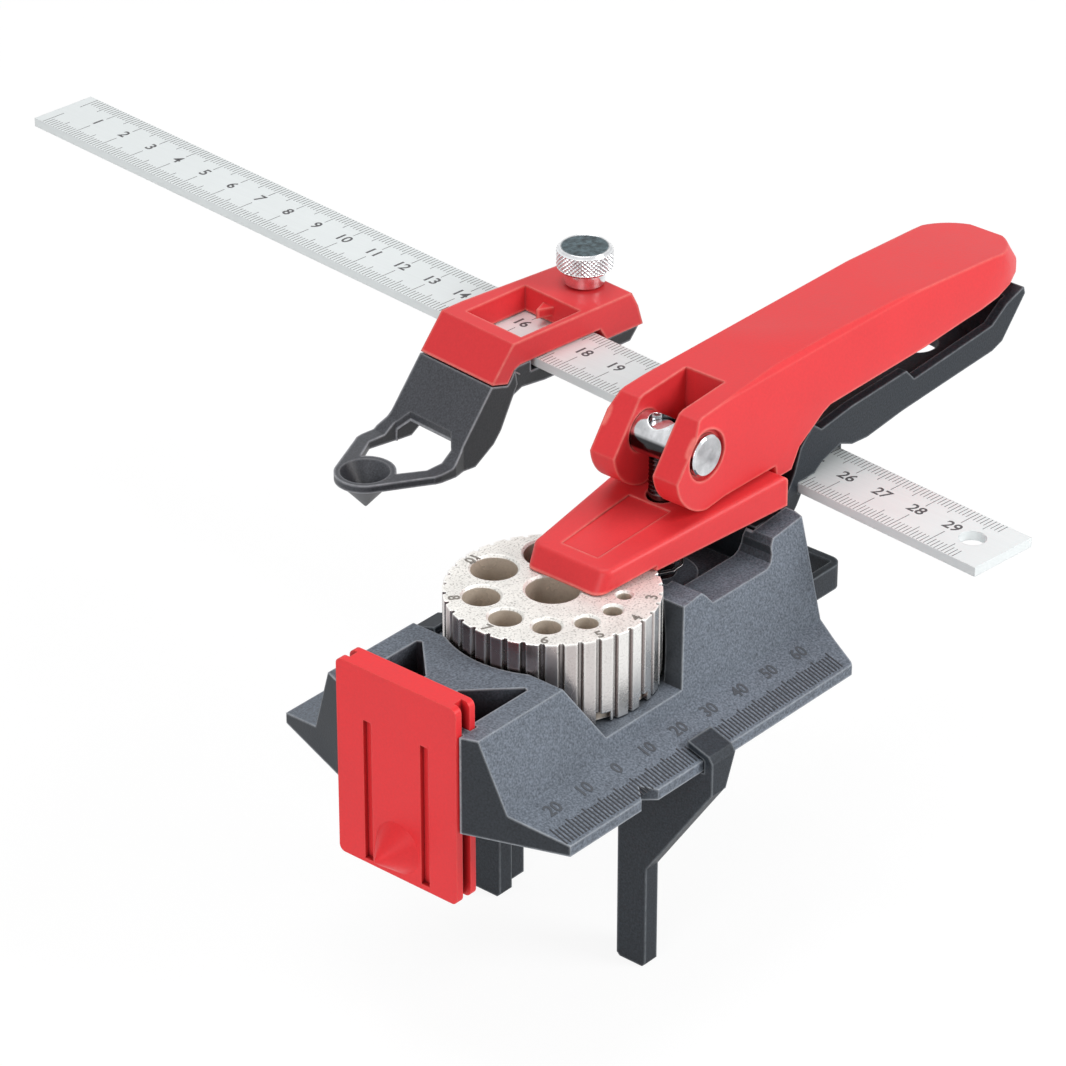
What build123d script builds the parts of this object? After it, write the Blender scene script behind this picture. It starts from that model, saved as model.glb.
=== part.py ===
"""Drilling jig with a size drum, a cam lever, sliding stops and a long ruler arm.

Units are millimetres. X runs towards the handle, Y across the jig, Z up.
The origin is on the drilling axis, in the plane of the work face.
"""

import os
from math import acos, atan2, cos, degrees, hypot, pi, radians, sin

from build123d import *

os.makedirs("parts", exist_ok=True)

# Clearances shared by every pair of parts
running_clearance = 0.1
seat_gap = 0.3
sliding_gap = 0.4

# Body moulding
body_half_width = 38.9
body_front_x = -33.2
body_rear_x = 75.8
edge_height = 2.5
crease_y = 26.2
crease_z = 6.5
crest_y = 18.1
crest_z = 29.0
front_deck_z = 22.8
block_front_z = 24.3
block_rear_z = 28.0
nose_half_width = 16.0
front_edge_x = -25.0
channel_half_width = 15.3
channel_height = 6.9
channel_front_x = -21.0
drill_passage_radius = 6.6
drill_boss_radius = 9.6
hub_radius = 7.5
rib_rear_x = 43.5
rib_width = 2.4
v_notch_half = 2.8
v_notch_depth = 3.0

# Index drum
drum_x = 15.0
drum_radius = 22.9
drum_height = 19.9
drum_pocket_radius = 23.5
pocket_floor_z = 9.4
drum_bottom_z = pocket_floor_z + seat_gap
drum_top_z = drum_bottom_z + drum_height
drum_bore_radius = 5.7
spigot_radius = drum_bore_radius - running_clearance
spigot_top_z = 16.0
hole_circle_radius = 15.0
drum_holes = {7: 0, 6: 36, 5: 68, 4: 96, 3: 121, 9: 170, 12: 221, 10: 275, 8: 321}
flute_count = 36
flute_depth = 0.8
flute_half_angle = 1.7
flute_floor_half_angle = 0.8
notch_width = 3.2
notch_height = 2.2
notch_depth = 1.5

# Detent that stops the drum at each hole
pin_radius = 1.5
pin_length = 3.0
detent_bore_radius = pin_radius + running_clearance
detent_z = 11.7
detent_end_x = -20.0

# Clamp plate
plate_tip_x = 17.8
plate_rear_x = 72.2
plate_tip_half = 9.9
plate_rear_half = 16.7
plate_bottom_z = drum_top_z + seat_gap
plate_tip_top = (20.2, 34.8)
plate_corner_radius = 2.6
plate_edge_radius = 1.3
plate_rear_top_z = 38.3
plate_rear_bottom_z = 31.0
plate_step_x = 34.3
plate_step = 1.2

# Stud, nuts and cam lever
pivot_x = 50.5
pivot_z = 50.4
stud_radius = 3.0
stud_top_z = 53.6
hex_nut_flats = 10.0
hex_nut_height = 5.6
stud_washer_thickness = 1.0
barrel_radius = 4.7
barrel_half_length = 12.2
cam_radius = 12.9
cam_fall_per_radian = 2.2
lever_slot_half = 5.2
lever_slot_end_x = 64.4
lever_half_width = 13.5
ear_recess_radius = barrel_radius + 1.0
ear_recess_y = 10.8
handle_end_x = 170.5
handle_end_round = 26.0
handle_hollow_front_x = 84.0
handle_hollow_rear_x = handle_end_x - 14.0
handle_hollow_half = 9.6
spring_coil_radius = 4.6
spring_wire_radius = 0.5

# Lower grip
grip_half_width = 12.6
grip_wall = 2.4
holder_half_length = 7.0
foot_half_width = 13.2
foot_front_x = 66.0
grip_screw_x = 70.8
grip_screw_y = 7.5
grip_screw_radius = 2.0
screw_head_radius = 3.5

# End plate
end_plate_front_x = -33.7
end_plate_half_width = 16.2
end_plate_bottom_z = -17.4
end_plate_height = 46.6
flange_front = 1.8
flange_back = 1.6
end_groove = 2.4
end_groove_depth = 2.2
cone_radius = 5.9
cone_length = 7.0
cone_z = -10.2

# Fence
fence_front_x = 17.0
fence_plate = 3.9
leg_inner_y = 16.5
leg_outer_y = 24.3
leg_bottom_z = -55.5
leg_shoulder_z = -30.6
leg_edge = 0.8
hook_inner_y = body_half_width + sliding_gap
hook_outer_y = hook_inner_y + 2.2
hook_bottom_z = -5.1
hook_depth = 7.5
hook_foot_depth = 4.5
pointer_inner_y = body_half_width - 4.1
pointer_height = 2.0
leg_rib_depth = 8.9
leg_rib_inset = 0.9
leg_rib_end = 2.0
crossbar_bottom_z = -9.0
rail_outer_y = 14.8
rail_wall = 2.0
rail_bottom_z = 0.6
rail_top_z = 6.5
loop_rear_x = 95.5

# Ruler and its slider, laid out in the ruler's own turned frame
ruler_x = 91.5
ruler_turn = 5.1
ruler_half_width = 9.0
ruler_thickness = 2.2
ruler_top_z = 31.0
ruler_near_end = -63.6
ruler_far_end = 243.9
ruler_hole_v = -55.0
ruler_hole_radius = 3.0
slider_mid_v = 78.4
slider_half_width = 11.7
arm_half_width = 13.2
cap_top_z = 37.2
cap_floor_z = ruler_top_z + sliding_gap
jaw_top_z = ruler_top_z - ruler_thickness - sliding_gap
thumb_u = 16.3
thumb_v = slider_mid_v - 1.2
thumb_radius = 2.0
thumb_neck_radius = 4.7
thumb_head_radius = 6.6
thumb_head_z = 41.2
thumb_top_z = 46.7
screw_nut_flats = 7.0
screw_nut_bottom_z = 25.2
screw_nut_height = 2.4
funnel_u = -51.0
funnel_radius = 7.0
funnel_root_radius = 6.3
funnel_point_radius = 0.3
funnel_mouth_radius = 5.7
funnel_mouth_depth = 6.0
arm_top_z = 13.8
arm_thickness = 1.9
funnel_tip_z = 5.0
arm_shoulder = 8.0


def mirrored(half):
    """Close a half outline, given from one side of the axis, with its mirror image."""
    return half + [(first, -second) for first, second in reversed(half)]


def mirrored_across(half):
    """The same for outlines whose first coordinate is the mirrored one."""
    return half + [(-first, second) for first, second in reversed(half)]


def on_circle(centre_x, radius, degrees_round):
    """A point on a circle, counted from the drilling axis side of the drum."""
    angle = radians(degrees_round)
    return centre_x - radius * cos(angle), -radius * sin(angle)


turn = radians(ruler_turn)
ruler_across = (cos(turn), -sin(turn), 0)
ruler_xy = Plane(origin=(ruler_x, 0, 0), x_dir=ruler_across, z_dir=(0, 0, 1))
ruler_xz = Plane(origin=(ruler_x, 0, 0), x_dir=ruler_across, z_dir=(-sin(turn), -cos(turn), 0))

body_section = [
    (body_half_width, 0),
    (body_half_width, edge_height),
    (crease_y, crease_z),
    (crest_y, crest_z),
]
body_plan = [
    (body_front_x, nose_half_width),
    (front_edge_x, body_half_width),
    (67.3, body_half_width),
    (67.9, 38.2),
    (70.1, 32.0),
    (72.6, 26.0),
    (74.9, 19.0),
    (body_rear_x, nose_half_width),
]
window_front_x = -5.6
window_floor = (2.5, 27.0)
block_face_x = 33.9
body_side = [
    (body_front_x - 1, 0),
    (body_rear_x + 1, 0),
    (body_rear_x + 1, block_rear_z),
    (block_face_x, block_front_z),
    (window_floor[1], pocket_floor_z),
    (window_floor[0], pocket_floor_z),
    (window_front_x, front_deck_z),
    (body_front_x - 1, front_deck_z),
]
plate_slot_back_x = end_plate_front_x + flange_front + end_groove + flange_back + sliding_gap
tongue_front_x = end_plate_front_x + flange_front + (end_groove - 2.0) / 2
tongue_thickness = 2.0
slot_half_width = end_plate_half_width + seat_gap
web_half_width = 4.4
pocket_outer_y = 15.0
block_channel_half = 13.5
block_front_half = 11.5
foot_channel_x = 64.8
block_channel_floor = 17.0
stud_boss_radius = 8.0
stud_boss_top = 18.0

with BuildPart() as body:
    # One long section, trimmed to its plan and to its side view
    with BuildSketch(Plane.YZ.offset(body_front_x - 1)):
        Polygon(*mirrored_across(body_section), align=None)
    extrude(amount=body_rear_x - body_front_x + 2)
    with BuildSketch(Plane.XY):
        Polygon(*mirrored(body_plan), align=None)
    extrude(amount=crest_z + 1, mode=Mode.INTERSECT)
    with BuildSketch(Plane.XZ):
        Polygon(*body_side, align=None)
    extrude(amount=body_half_width + 1, both=True, mode=Mode.INTERSECT)
    # Round pocket for the drum, with the spigot it turns on
    with BuildSketch(Plane.XY.offset(pocket_floor_z)):
        with Locations((drum_x, 0)):
            Circle(drum_pocket_radius)
    extrude(amount=crest_z, mode=Mode.SUBTRACT)
    # Triangular pockets each side of the detent web
    for side in (-1, 1):
        with BuildSketch(Plane.XY.offset(pocket_floor_z)):
            Polygon(
                (plate_slot_back_x - 1, side * pocket_outer_y),
                (-10.5, side * pocket_outer_y),
                (-10.0, side * (pocket_outer_y - 1)),
                (-19.6, side * web_half_width),
                (plate_slot_back_x - 1, side * web_half_width),
                align=None,
            )
        extrude(amount=crest_z, mode=Mode.SUBTRACT)
    # Slot for the end plate, with a tongue on each side that guides it
    with BuildSketch(Plane.XY.offset(-1)):
        with Locations(((body_front_x - 1 + plate_slot_back_x) / 2, 0)):
            Rectangle(plate_slot_back_x - body_front_x + 1, 2 * slot_half_width)
    extrude(amount=crest_z + 2, mode=Mode.SUBTRACT)
    tongue_inner_y = end_plate_half_width - end_groove_depth + seat_gap
    for side in (-1, 1):
        with BuildSketch(Plane.XY):
            with Locations((tongue_front_x + tongue_thickness / 2, side * (tongue_inner_y + 17.5) / 2)):
                Rectangle(tongue_thickness, 17.5 - tongue_inner_y)
        extrude(amount=front_deck_z)
    # Channel in the block behind the drum, with the boss of the clamp stud
    with BuildSketch(Plane.XY.offset(block_channel_floor)):
        with Locations(((38.0 + body_rear_x) / 2, 0)):
            Rectangle(body_rear_x - 38.0, 2 * block_front_half)
        with Locations(((foot_channel_x + body_rear_x + 1) / 2, 0)):
            Rectangle(body_rear_x + 1 - foot_channel_x, 2 * block_channel_half)
    extrude(amount=crest_z, mode=Mode.SUBTRACT)
    with BuildSketch(Plane.XY.offset(channel_height)):
        with Locations((pivot_x, 0)):
            Circle(stud_boss_radius)
    extrude(amount=stud_boss_top - channel_height)
    # Finger recess across the block, under the clamp plate
    with BuildSketch(Plane.XZ):
        Polygon(
            (39.8, 30.0), (39.8, 25.0), (41.0, 23.9), (42.5, 21.9), (60.6, 21.9), (62.2, 22.6),
            (63.2, 24.0), (63.6, 25.6), (65.4, 27.6), (65.4, 30.0), align=None,
        )
    extrude(amount=body_half_width, both=True, mode=Mode.SUBTRACT)
    # Channel under the body for the rails of the fence
    with BuildSketch(Plane.XY.offset(-1)):
        with Locations(((channel_front_x + body_rear_x + 1) / 2, 0)):
            Rectangle(body_rear_x + 1 - channel_front_x, 2 * channel_half_width)
    extrude(amount=channel_height + 1, mode=Mode.SUBTRACT)
    # Boss round the drill, and the hub and rib behind it
    with BuildSketch(Plane.XY):
        Circle(drill_boss_radius)
    extrude(amount=pocket_floor_z)
    with BuildSketch(Plane.XY.offset(seat_gap)):
        with Locations((drum_x, 0)):
            Circle(hub_radius)
        with Locations(((drum_x + rib_rear_x) / 2, 0)):
            Rectangle(rib_rear_x - drum_x, rib_width)
    extrude(amount=pocket_floor_z - seat_gap)
    with BuildSketch(Plane.XY.offset(pocket_floor_z - 1)):
        with Locations((drum_x, 0)):
            Circle(spigot_radius)
    extrude(amount=spigot_top_z - pocket_floor_z + 1)
    with BuildSketch(Plane.XY.offset(-1)):
        Circle(drill_passage_radius)
    extrude(amount=pocket_floor_z + 2, mode=Mode.SUBTRACT)
    # Hollows under the aprons, between cross ribs
    for start_x in (-19.0, -1.6, 15.8, 33.2, 50.6):
        for side in (-1, 1):
            with BuildSketch(Plane.YZ.offset(start_x)):
                Polygon(
                    (side * 19.5, -1.0), (side * 35.6, -1.0), (side * 35.6, 1.2), (side * 25.4, 4.3),
                    (side * 19.5, 4.3), align=None,
                )
            extrude(amount=15.0, mode=Mode.SUBTRACT)
    # Index notch for a pencil line on each edge, in line with the drill
    for side in (-1, 1):
        with BuildSketch(Plane.XY.offset(-1)):
            Polygon(
                (-v_notch_half, side * (body_half_width + 0.1)),
                (v_notch_half, side * (body_half_width + 0.1)),
                (0, side * (body_half_width - v_notch_depth)),
                align=None,
            )
        extrude(amount=crease_z, mode=Mode.SUBTRACT)
    # Detent bore in the web, stud hole with its nut pocket, grip screw holes
    with BuildSketch(Plane.YZ.offset(detent_end_x)):
        with Locations((0, detent_z)):
            Circle(detent_bore_radius)
    extrude(amount=14.0, mode=Mode.SUBTRACT)
    with BuildSketch(Plane.XY):
        with Locations((pivot_x, 0)):
            Circle(stud_radius + running_clearance)
        with Locations((grip_screw_x, -grip_screw_y), (grip_screw_x, grip_screw_y)):
            Circle(grip_screw_radius + running_clearance)
    extrude(amount=crest_z, mode=Mode.SUBTRACT)
    with BuildSketch(Plane.XY):
        with Locations((pivot_x, 0)):
            RegularPolygon(hex_nut_flats / 2 + seat_gap, 6, major_radius=False)
    extrude(amount=channel_height + hex_nut_height + seat_gap, mode=Mode.SUBTRACT)
    with BuildSketch(Plane.XY):
        with Locations((grip_screw_x, -grip_screw_y), (grip_screw_x, grip_screw_y)):
            Circle(screw_head_radius + seat_gap)
    extrude(amount=channel_height + 2.8, mode=Mode.SUBTRACT)

with BuildPart() as drum:
    # Flat lands between the flutes for the fingers
    rim_outline = []
    for step in range(flute_count):
        middle = (step + 0.5) * 360 / flute_count
        rim_outline += [
            on_circle(drum_x, drum_radius, middle - flute_half_angle),
            on_circle(drum_x, drum_radius - flute_depth, middle - flute_floor_half_angle),
            on_circle(drum_x, drum_radius - flute_depth, middle + flute_floor_half_angle),
            on_circle(drum_x, drum_radius, middle + flute_half_angle),
        ]
    with BuildSketch(Plane.XY.offset(drum_bottom_z)):
        Polygon(*rim_outline, align=None)
    extrude(amount=drum_height)
    # Guide holes with eased rims, and an index notch under each
    with BuildSketch(Plane.XY.offset(drum_bottom_z)):
        with Locations((drum_x, 0)):
            Circle(drum_bore_radius)
        for diameter, angle in drum_holes.items():
            with Locations(on_circle(drum_x, hole_circle_radius, angle)):
                Circle(diameter / 2)
    extrude(amount=drum_height, mode=Mode.SUBTRACT)
    with BuildSketch(Plane.XY.offset(drum_top_z)):
        with Locations((drum_x, 0)):
            Circle(drum_bore_radius + 0.5)
        for diameter, angle in drum_holes.items():
            with Locations(on_circle(drum_x, hole_circle_radius, angle)):
                Circle(diameter / 2 + 0.5)
    extrude(amount=-0.5, taper=45, mode=Mode.SUBTRACT)
    with BuildSketch(Plane.XY.offset(drum_bottom_z)):
        for angle in drum_holes.values():
            with Locations(on_circle(drum_x, drum_radius, angle)):
                Rectangle(2 * notch_depth, notch_width, rotation=angle)
    extrude(amount=notch_height, mode=Mode.SUBTRACT)

pin_tip_x = drum_x - drum_radius - running_clearance
with BuildPart() as detent_pin:
    with BuildSketch(Plane.YZ.offset(pin_tip_x)):
        with Locations((0, detent_z)):
            Circle(pin_radius)
    extrude(amount=-pin_length)
    chamfer(detent_pin.edges().filter_by(GeomType.CIRCLE).sort_by(Axis.X)[-1], pin_radius / 2)


def coil_points(radius, length, turns, steps):
    """Corners of a straight-sided coil that climbs along Z from the origin."""
    count = int(turns * steps)
    return [
        (radius * cos(2 * pi * step / steps), radius * sin(2 * pi * step / steps), length * step / count)
        for step in range(count + 1)
    ]


detent_spring_start = detent_end_x + 0.5
detent_spring_length = pin_tip_x - pin_length - sliding_gap - detent_spring_start
with BuildPart() as detent_spring:
    with BuildLine(Plane(origin=(detent_spring_start, 0, detent_z), z_dir=(1, 0, 0))):
        coil = Polyline(*coil_points(pin_radius - 0.4, detent_spring_length, 5, 6))
    with BuildSketch(Plane(origin=coil @ 0, z_dir=coil % 0)):
        RegularPolygon(0.2, 4)
    sweep(transition=Transition.RIGHT)

plate_top_slope = (plate_rear_top_z - plate_tip_top[1]) / (plate_rear_x - plate_tip_top[0])
with BuildPart() as clamp_plate:
    with BuildSketch(Plane.XZ):
        Polygon(
            (plate_tip_x, plate_bottom_z),
            plate_tip_top,
            (plate_rear_x, plate_rear_top_z),
            (plate_rear_x, plate_rear_bottom_z),
            (plate_step_x, plate_bottom_z),
            (plate_step_x, plate_bottom_z + plate_step),
            align=None,
        )
    extrude(amount=plate_rear_half + 1, both=True)
    with BuildSketch(Plane.XY):
        Polygon(
            *mirrored([(plate_tip_x - 1, plate_tip_half), (plate_rear_x, plate_rear_half)]),
            align=None,
        )
    extrude(amount=plate_rear_top_z + 2, mode=Mode.INTERSECT)
    upright = clamp_plate.edges().filter_by(lambda edge: abs(edge.tangent_at(0.5).Z) > 0.7)
    fillet(upright.sort_by(Axis.X)[:2], plate_corner_radius)
    plate_top = clamp_plate.faces().filter_by(lambda face: face.normal_at().Z > 0.9)
    fillet(plate_top.sort_by(SortBy.AREA)[-1].edges(), plate_edge_radius)
    # Shallow sunk panel on the tip
    with BuildSketch(Plane(origin=(0, 0, plate_tip_top[1] - plate_tip_top[0] * plate_top_slope - 0.5),
                           x_dir=(1, 0, plate_top_slope), z_dir=(-plate_top_slope, 0, 1))):
        Polygon(*mirrored([(25.0, 7.6), (38.5, 9.2)]), align=None)
    extrude(amount=3.0, mode=Mode.SUBTRACT)
    with BuildSketch(Plane.XY.offset(20)):
        with Locations((pivot_x, 0)):
            Circle(stud_radius + sliding_gap)
    extrude(amount=30, mode=Mode.SUBTRACT)

with BuildPart() as clamp_stud:
    with BuildSketch(Plane.XY.offset(channel_height + 0.3)):
        with Locations((pivot_x, 0)):
            Circle(stud_radius)
    extrude(amount=stud_top_z - channel_height - 0.3)
    chamfer(clamp_stud.edges().group_by(Axis.Z)[-1], 0.5)

with BuildPart() as stud_nut:
    with BuildSketch(Plane.XY.offset(channel_height + seat_gap)):
        with Locations((pivot_x, 0)):
            RegularPolygon(hex_nut_flats / 2, 6, major_radius=False)
            Circle(stud_radius + running_clearance, mode=Mode.SUBTRACT)
    extrude(amount=hex_nut_height - stud_washer_thickness - seat_gap)

with BuildPart() as stud_washer:
    with BuildSketch(Plane.XY.offset(channel_height + hex_nut_height - stud_washer_thickness)):
        with Locations((pivot_x, 0)):
            Circle(hex_nut_flats / 2)
            Circle(stud_radius + running_clearance, mode=Mode.SUBTRACT)
    extrude(amount=stud_washer_thickness)

with BuildPart() as barrel_nut:
    with BuildSketch(Plane.XZ):
        with Locations((pivot_x, pivot_z)):
            Circle(barrel_radius)
    extrude(amount=barrel_half_length, both=True)
    chamfer(barrel_nut.edges().filter_by(GeomType.CIRCLE), 0.4)
    with BuildSketch(Plane.XY.offset(pivot_z - 6)):
        with Locations((pivot_x, 0)):
            Circle(stud_radius + running_clearance)
    extrude(amount=12, mode=Mode.SUBTRACT)

spring_bottom_z = stud_boss_top + spring_wire_radius + seat_gap
spring_top_z = 29.5
with BuildPart() as clamp_spring:
    with BuildLine(Plane(origin=(pivot_x, 0, spring_bottom_z))):
        coil = Polyline(*coil_points(spring_coil_radius, spring_top_z - spring_bottom_z, 4.5, 10))
    with BuildSketch(Plane(origin=coil @ 0, z_dir=coil % 0)):
        RegularPolygon(spring_wire_radius, 4)
    sweep(transition=Transition.RIGHT)


def cam_point(angle):
    """Point on the cam, at an angle in degrees from straight down towards the tip."""
    radius = cam_radius - cam_fall_per_radian * radians(angle)
    return pivot_x - radius * sin(radians(angle)), pivot_z - radius * cos(radians(angle))


lever_under = [
    (57.0, 38.3),
    (72.6, 39.1),
    (73.1, 35.9),
    (78.2, 35.9),
    (80.4, 40.6),
    (88.2, 45.9),
    (90.6, 46.8),
    (124.0, 47.2),
    (139.0, 48.1),
    (160.0, 48.9),
    (handle_end_x, 49.3),
]
lever_top = [
    (handle_end_x, 50.6),
    (handle_end_x - 2.2, 53.9),
    (handle_end_x - 6.0, 56.2),
    (152.0, 57.7),
    (118.0, 60.0),
    (84.0, 60.8),
    (64.0, 59.9),
    (50.5, 59.0),
    (49.2, 58.5),
]
with BuildPart() as clamp_lever:
    cam_outline = [cam_point(angle) for angle in range(0, 73, 6)]
    with BuildSketch(Plane.XZ):
        Polygon(*lever_under, *lever_top, *reversed(cam_outline), align=None)
    extrude(amount=lever_half_width, both=True)
    # Narrow ears in front, full width behind, round end
    handle_end = [
        (handle_end_x - handle_end_round * (1 - sin(radians(angle))), lever_half_width * cos(radians(angle)))
        for angle in range(0, 81, 16)
    ]
    with BuildSketch(Plane.XY):
        Polygon(
            *mirrored([(38.0, 11.8), (56.0, 12.0), (80.0, lever_half_width), *handle_end]),
            align=None,
        )
    extrude(amount=70, mode=Mode.INTERSECT)
    # Flanks that lean in towards the top
    with BuildSketch(Plane.YZ.offset(36)):
        Polygon(
            *mirrored_across([(12.6, 30), (lever_half_width, 46), (lever_half_width, 50), (10.4, 59.4),
                              (9.2, 60.4), (6.0, 61.2)]),
            align=None,
        )
    extrude(amount=140, mode=Mode.INTERSECT)
    # Slot between the ears
    with BuildSketch(Plane.XY.offset(30)):
        with Locations(((30 + lever_slot_end_x) / 2, 0)):
            Rectangle(lever_slot_end_x - 30, 2 * lever_slot_half)
    extrude(amount=40, mode=Mode.SUBTRACT)
    # Hollow underside of the handle
    with BuildSketch(Plane.XZ):
        Polygon(
            (handle_hollow_front_x, 30.0),
            (handle_hollow_front_x, 57.6),
            (118.0, 57.0),
            (150.0, 54.8),
            (handle_hollow_rear_x - 4.0, 53.8),
            (handle_hollow_rear_x, 51.0),
            (handle_hollow_rear_x, 30.0),
            align=None,
        )
    extrude(amount=handle_hollow_half, both=True, mode=Mode.SUBTRACT)
    # Bore of the barrel nut, with a wider recess at each end
    with BuildSketch(Plane.XZ):
        with Locations((pivot_x, pivot_z)):
            Circle(barrel_radius + running_clearance)
    extrude(amount=20, both=True, mode=Mode.SUBTRACT)
    for side in (-1, 1):
        with BuildSketch(Plane.XZ.offset(side * ear_recess_y)):
            with Locations((pivot_x, pivot_z)):
                Circle(ear_recess_radius)
        extrude(amount=side * 5, mode=Mode.SUBTRACT)

grip_outline = [
    (foot_front_x + 8.0, 26.0),
    (75.9, 20.0),
    (81.0, 26.0),
    (82.7, 28.6),
    (89.5, 33.1),
    (95.7, 34.7),
    (100.0, 32.9),
    (105.4, 32.4),
    (118.0, 33.7),
    (140.0, 34.8),
    (151.0, 35.3),
    (154.7, 36.4),
    (162.7, 45.3),
    (162.2, 47.0),
    (156.0, 45.2),
    (150.6, 41.8),
    (122.0, 40.0),
    (119.0, 43.1),
    (99.5, 42.4),
    (89.0, 41.1),
    (86.0, 43.4),
    (81.8, 39.3),
    (79.9, 34.0),
    (75.6, 27.4),
]
with BuildPart() as lower_grip:
    with BuildSketch(Plane.XZ):
        Polygon(*grip_outline, align=None)
    extrude(amount=grip_half_width, both=True)
    # Open channel along the top
    with BuildSketch(Plane.XZ):
        Polygon(
            (90.0, 60.0), (90.0, 37.0), (96.0, 37.4), (101.0, 35.8), (106.0, 35.2), (118.0, 36.2),
            (151.0, 37.9), (158.0, 43.4), (158.0, 60.0), align=None,
        )
    extrude(amount=grip_half_width - grip_wall, both=True, mode=Mode.SUBTRACT)
    # Foot that stands in the channel of the body
    with BuildSketch(Plane.XY.offset(block_channel_floor)):
        with Locations(((foot_front_x + body_rear_x - 0.2) / 2, 0)):
            Rectangle(body_rear_x - 0.2 - foot_front_x, 2 * foot_half_width)
    extrude(amount=10.0)
    with BuildSketch(Plane.XY.offset(20.0)):
        with Locations((79.0, 0)):
            Rectangle(6.4, 2 * grip_half_width - 4)
    extrude(amount=8.0)
    # Bridge with the slot that holds the ruler
    with BuildSketch(Plane.XZ):
        Polygon((78.0, 26.2), (103.6, 26.2), (103.6, 33.4), (96.0, 35.2), (78.0, 35.2), align=None)
    extrude(amount=holder_half_length, both=True)
    with BuildSketch(Plane.XZ):
        with Locations((91.35, ruler_top_z - ruler_thickness / 2)):
            Rectangle(20.3, ruler_thickness + 2 * seat_gap)
    extrude(amount=grip_half_width + 2, both=True, mode=Mode.SUBTRACT)
    with BuildSketch(Plane.XY.offset(block_channel_floor)):
        with Locations((grip_screw_x, -grip_screw_y), (grip_screw_x, grip_screw_y)):
            Circle(grip_screw_radius + running_clearance)
    extrude(amount=8.0, mode=Mode.SUBTRACT)

with BuildPart() as grip_screws:
    with BuildSketch(Plane.XY.offset(channel_height + 0.2)):
        with Locations((grip_screw_x, -grip_screw_y), (grip_screw_x, grip_screw_y)):
            Circle(screw_head_radius)
    extrude(amount=2.4)
    with BuildSketch(Plane.XY.offset(channel_height + 2.0)):
        with Locations((grip_screw_x, -grip_screw_y), (grip_screw_x, grip_screw_y)):
            Circle(grip_screw_radius)
    extrude(amount=15.6)
    with BuildSketch(Plane.XY.offset(channel_height)):
        with Locations((grip_screw_x, -grip_screw_y), (grip_screw_x, grip_screw_y)):
            RegularPolygon(1.6, 6)
    extrude(amount=1.4, mode=Mode.SUBTRACT)

with BuildPart() as end_plate:
    plate_back_x = end_plate_front_x + flange_front + end_groove + flange_back
    web_half = end_plate_half_width - end_groove_depth
    with BuildSketch(Plane.XY.offset(end_plate_bottom_z)):
        Polygon(
            *mirrored([
                (end_plate_front_x, end_plate_half_width),
                (end_plate_front_x + flange_front, end_plate_half_width),
                (end_plate_front_x + flange_front, web_half),
                (plate_back_x - flange_back, web_half),
                (plate_back_x - flange_back, end_plate_half_width),
                (plate_back_x, end_plate_half_width),
            ]),
            align=None,
        )
    extrude(amount=end_plate_height)
    with BuildSketch(Plane.YZ.offset(end_plate_front_x)):
        with Locations((0, end_plate_bottom_z + end_plate_height / 2)):
            RectangleRounded(2 * end_plate_half_width, end_plate_height, 1.5)
    extrude(amount=10, mode=Mode.INTERSECT)
    # Two upright grooves and a centring cone on the front
    with BuildSketch(Plane.YZ.offset(end_plate_front_x)):
        with Locations((-7.6, 0.6), (7.9, 0.3)):
            Rectangle(2.2, 33.4)
    extrude(amount=1.2, mode=Mode.SUBTRACT)
    with BuildSketch(Plane.YZ.offset(end_plate_front_x)):
        with Locations((0, cone_z)):
            Circle(cone_radius)
    extrude(amount=-cone_length, taper=degrees(atan2(cone_radius - 0.2, cone_length)))

apron_slope = (crease_z - edge_height) / (body_half_width - crease_y)


def above_apron(y, height):
    """Height of a point that stands over the sloping apron."""
    return edge_height + (body_half_width - y) * apron_slope + height


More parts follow.
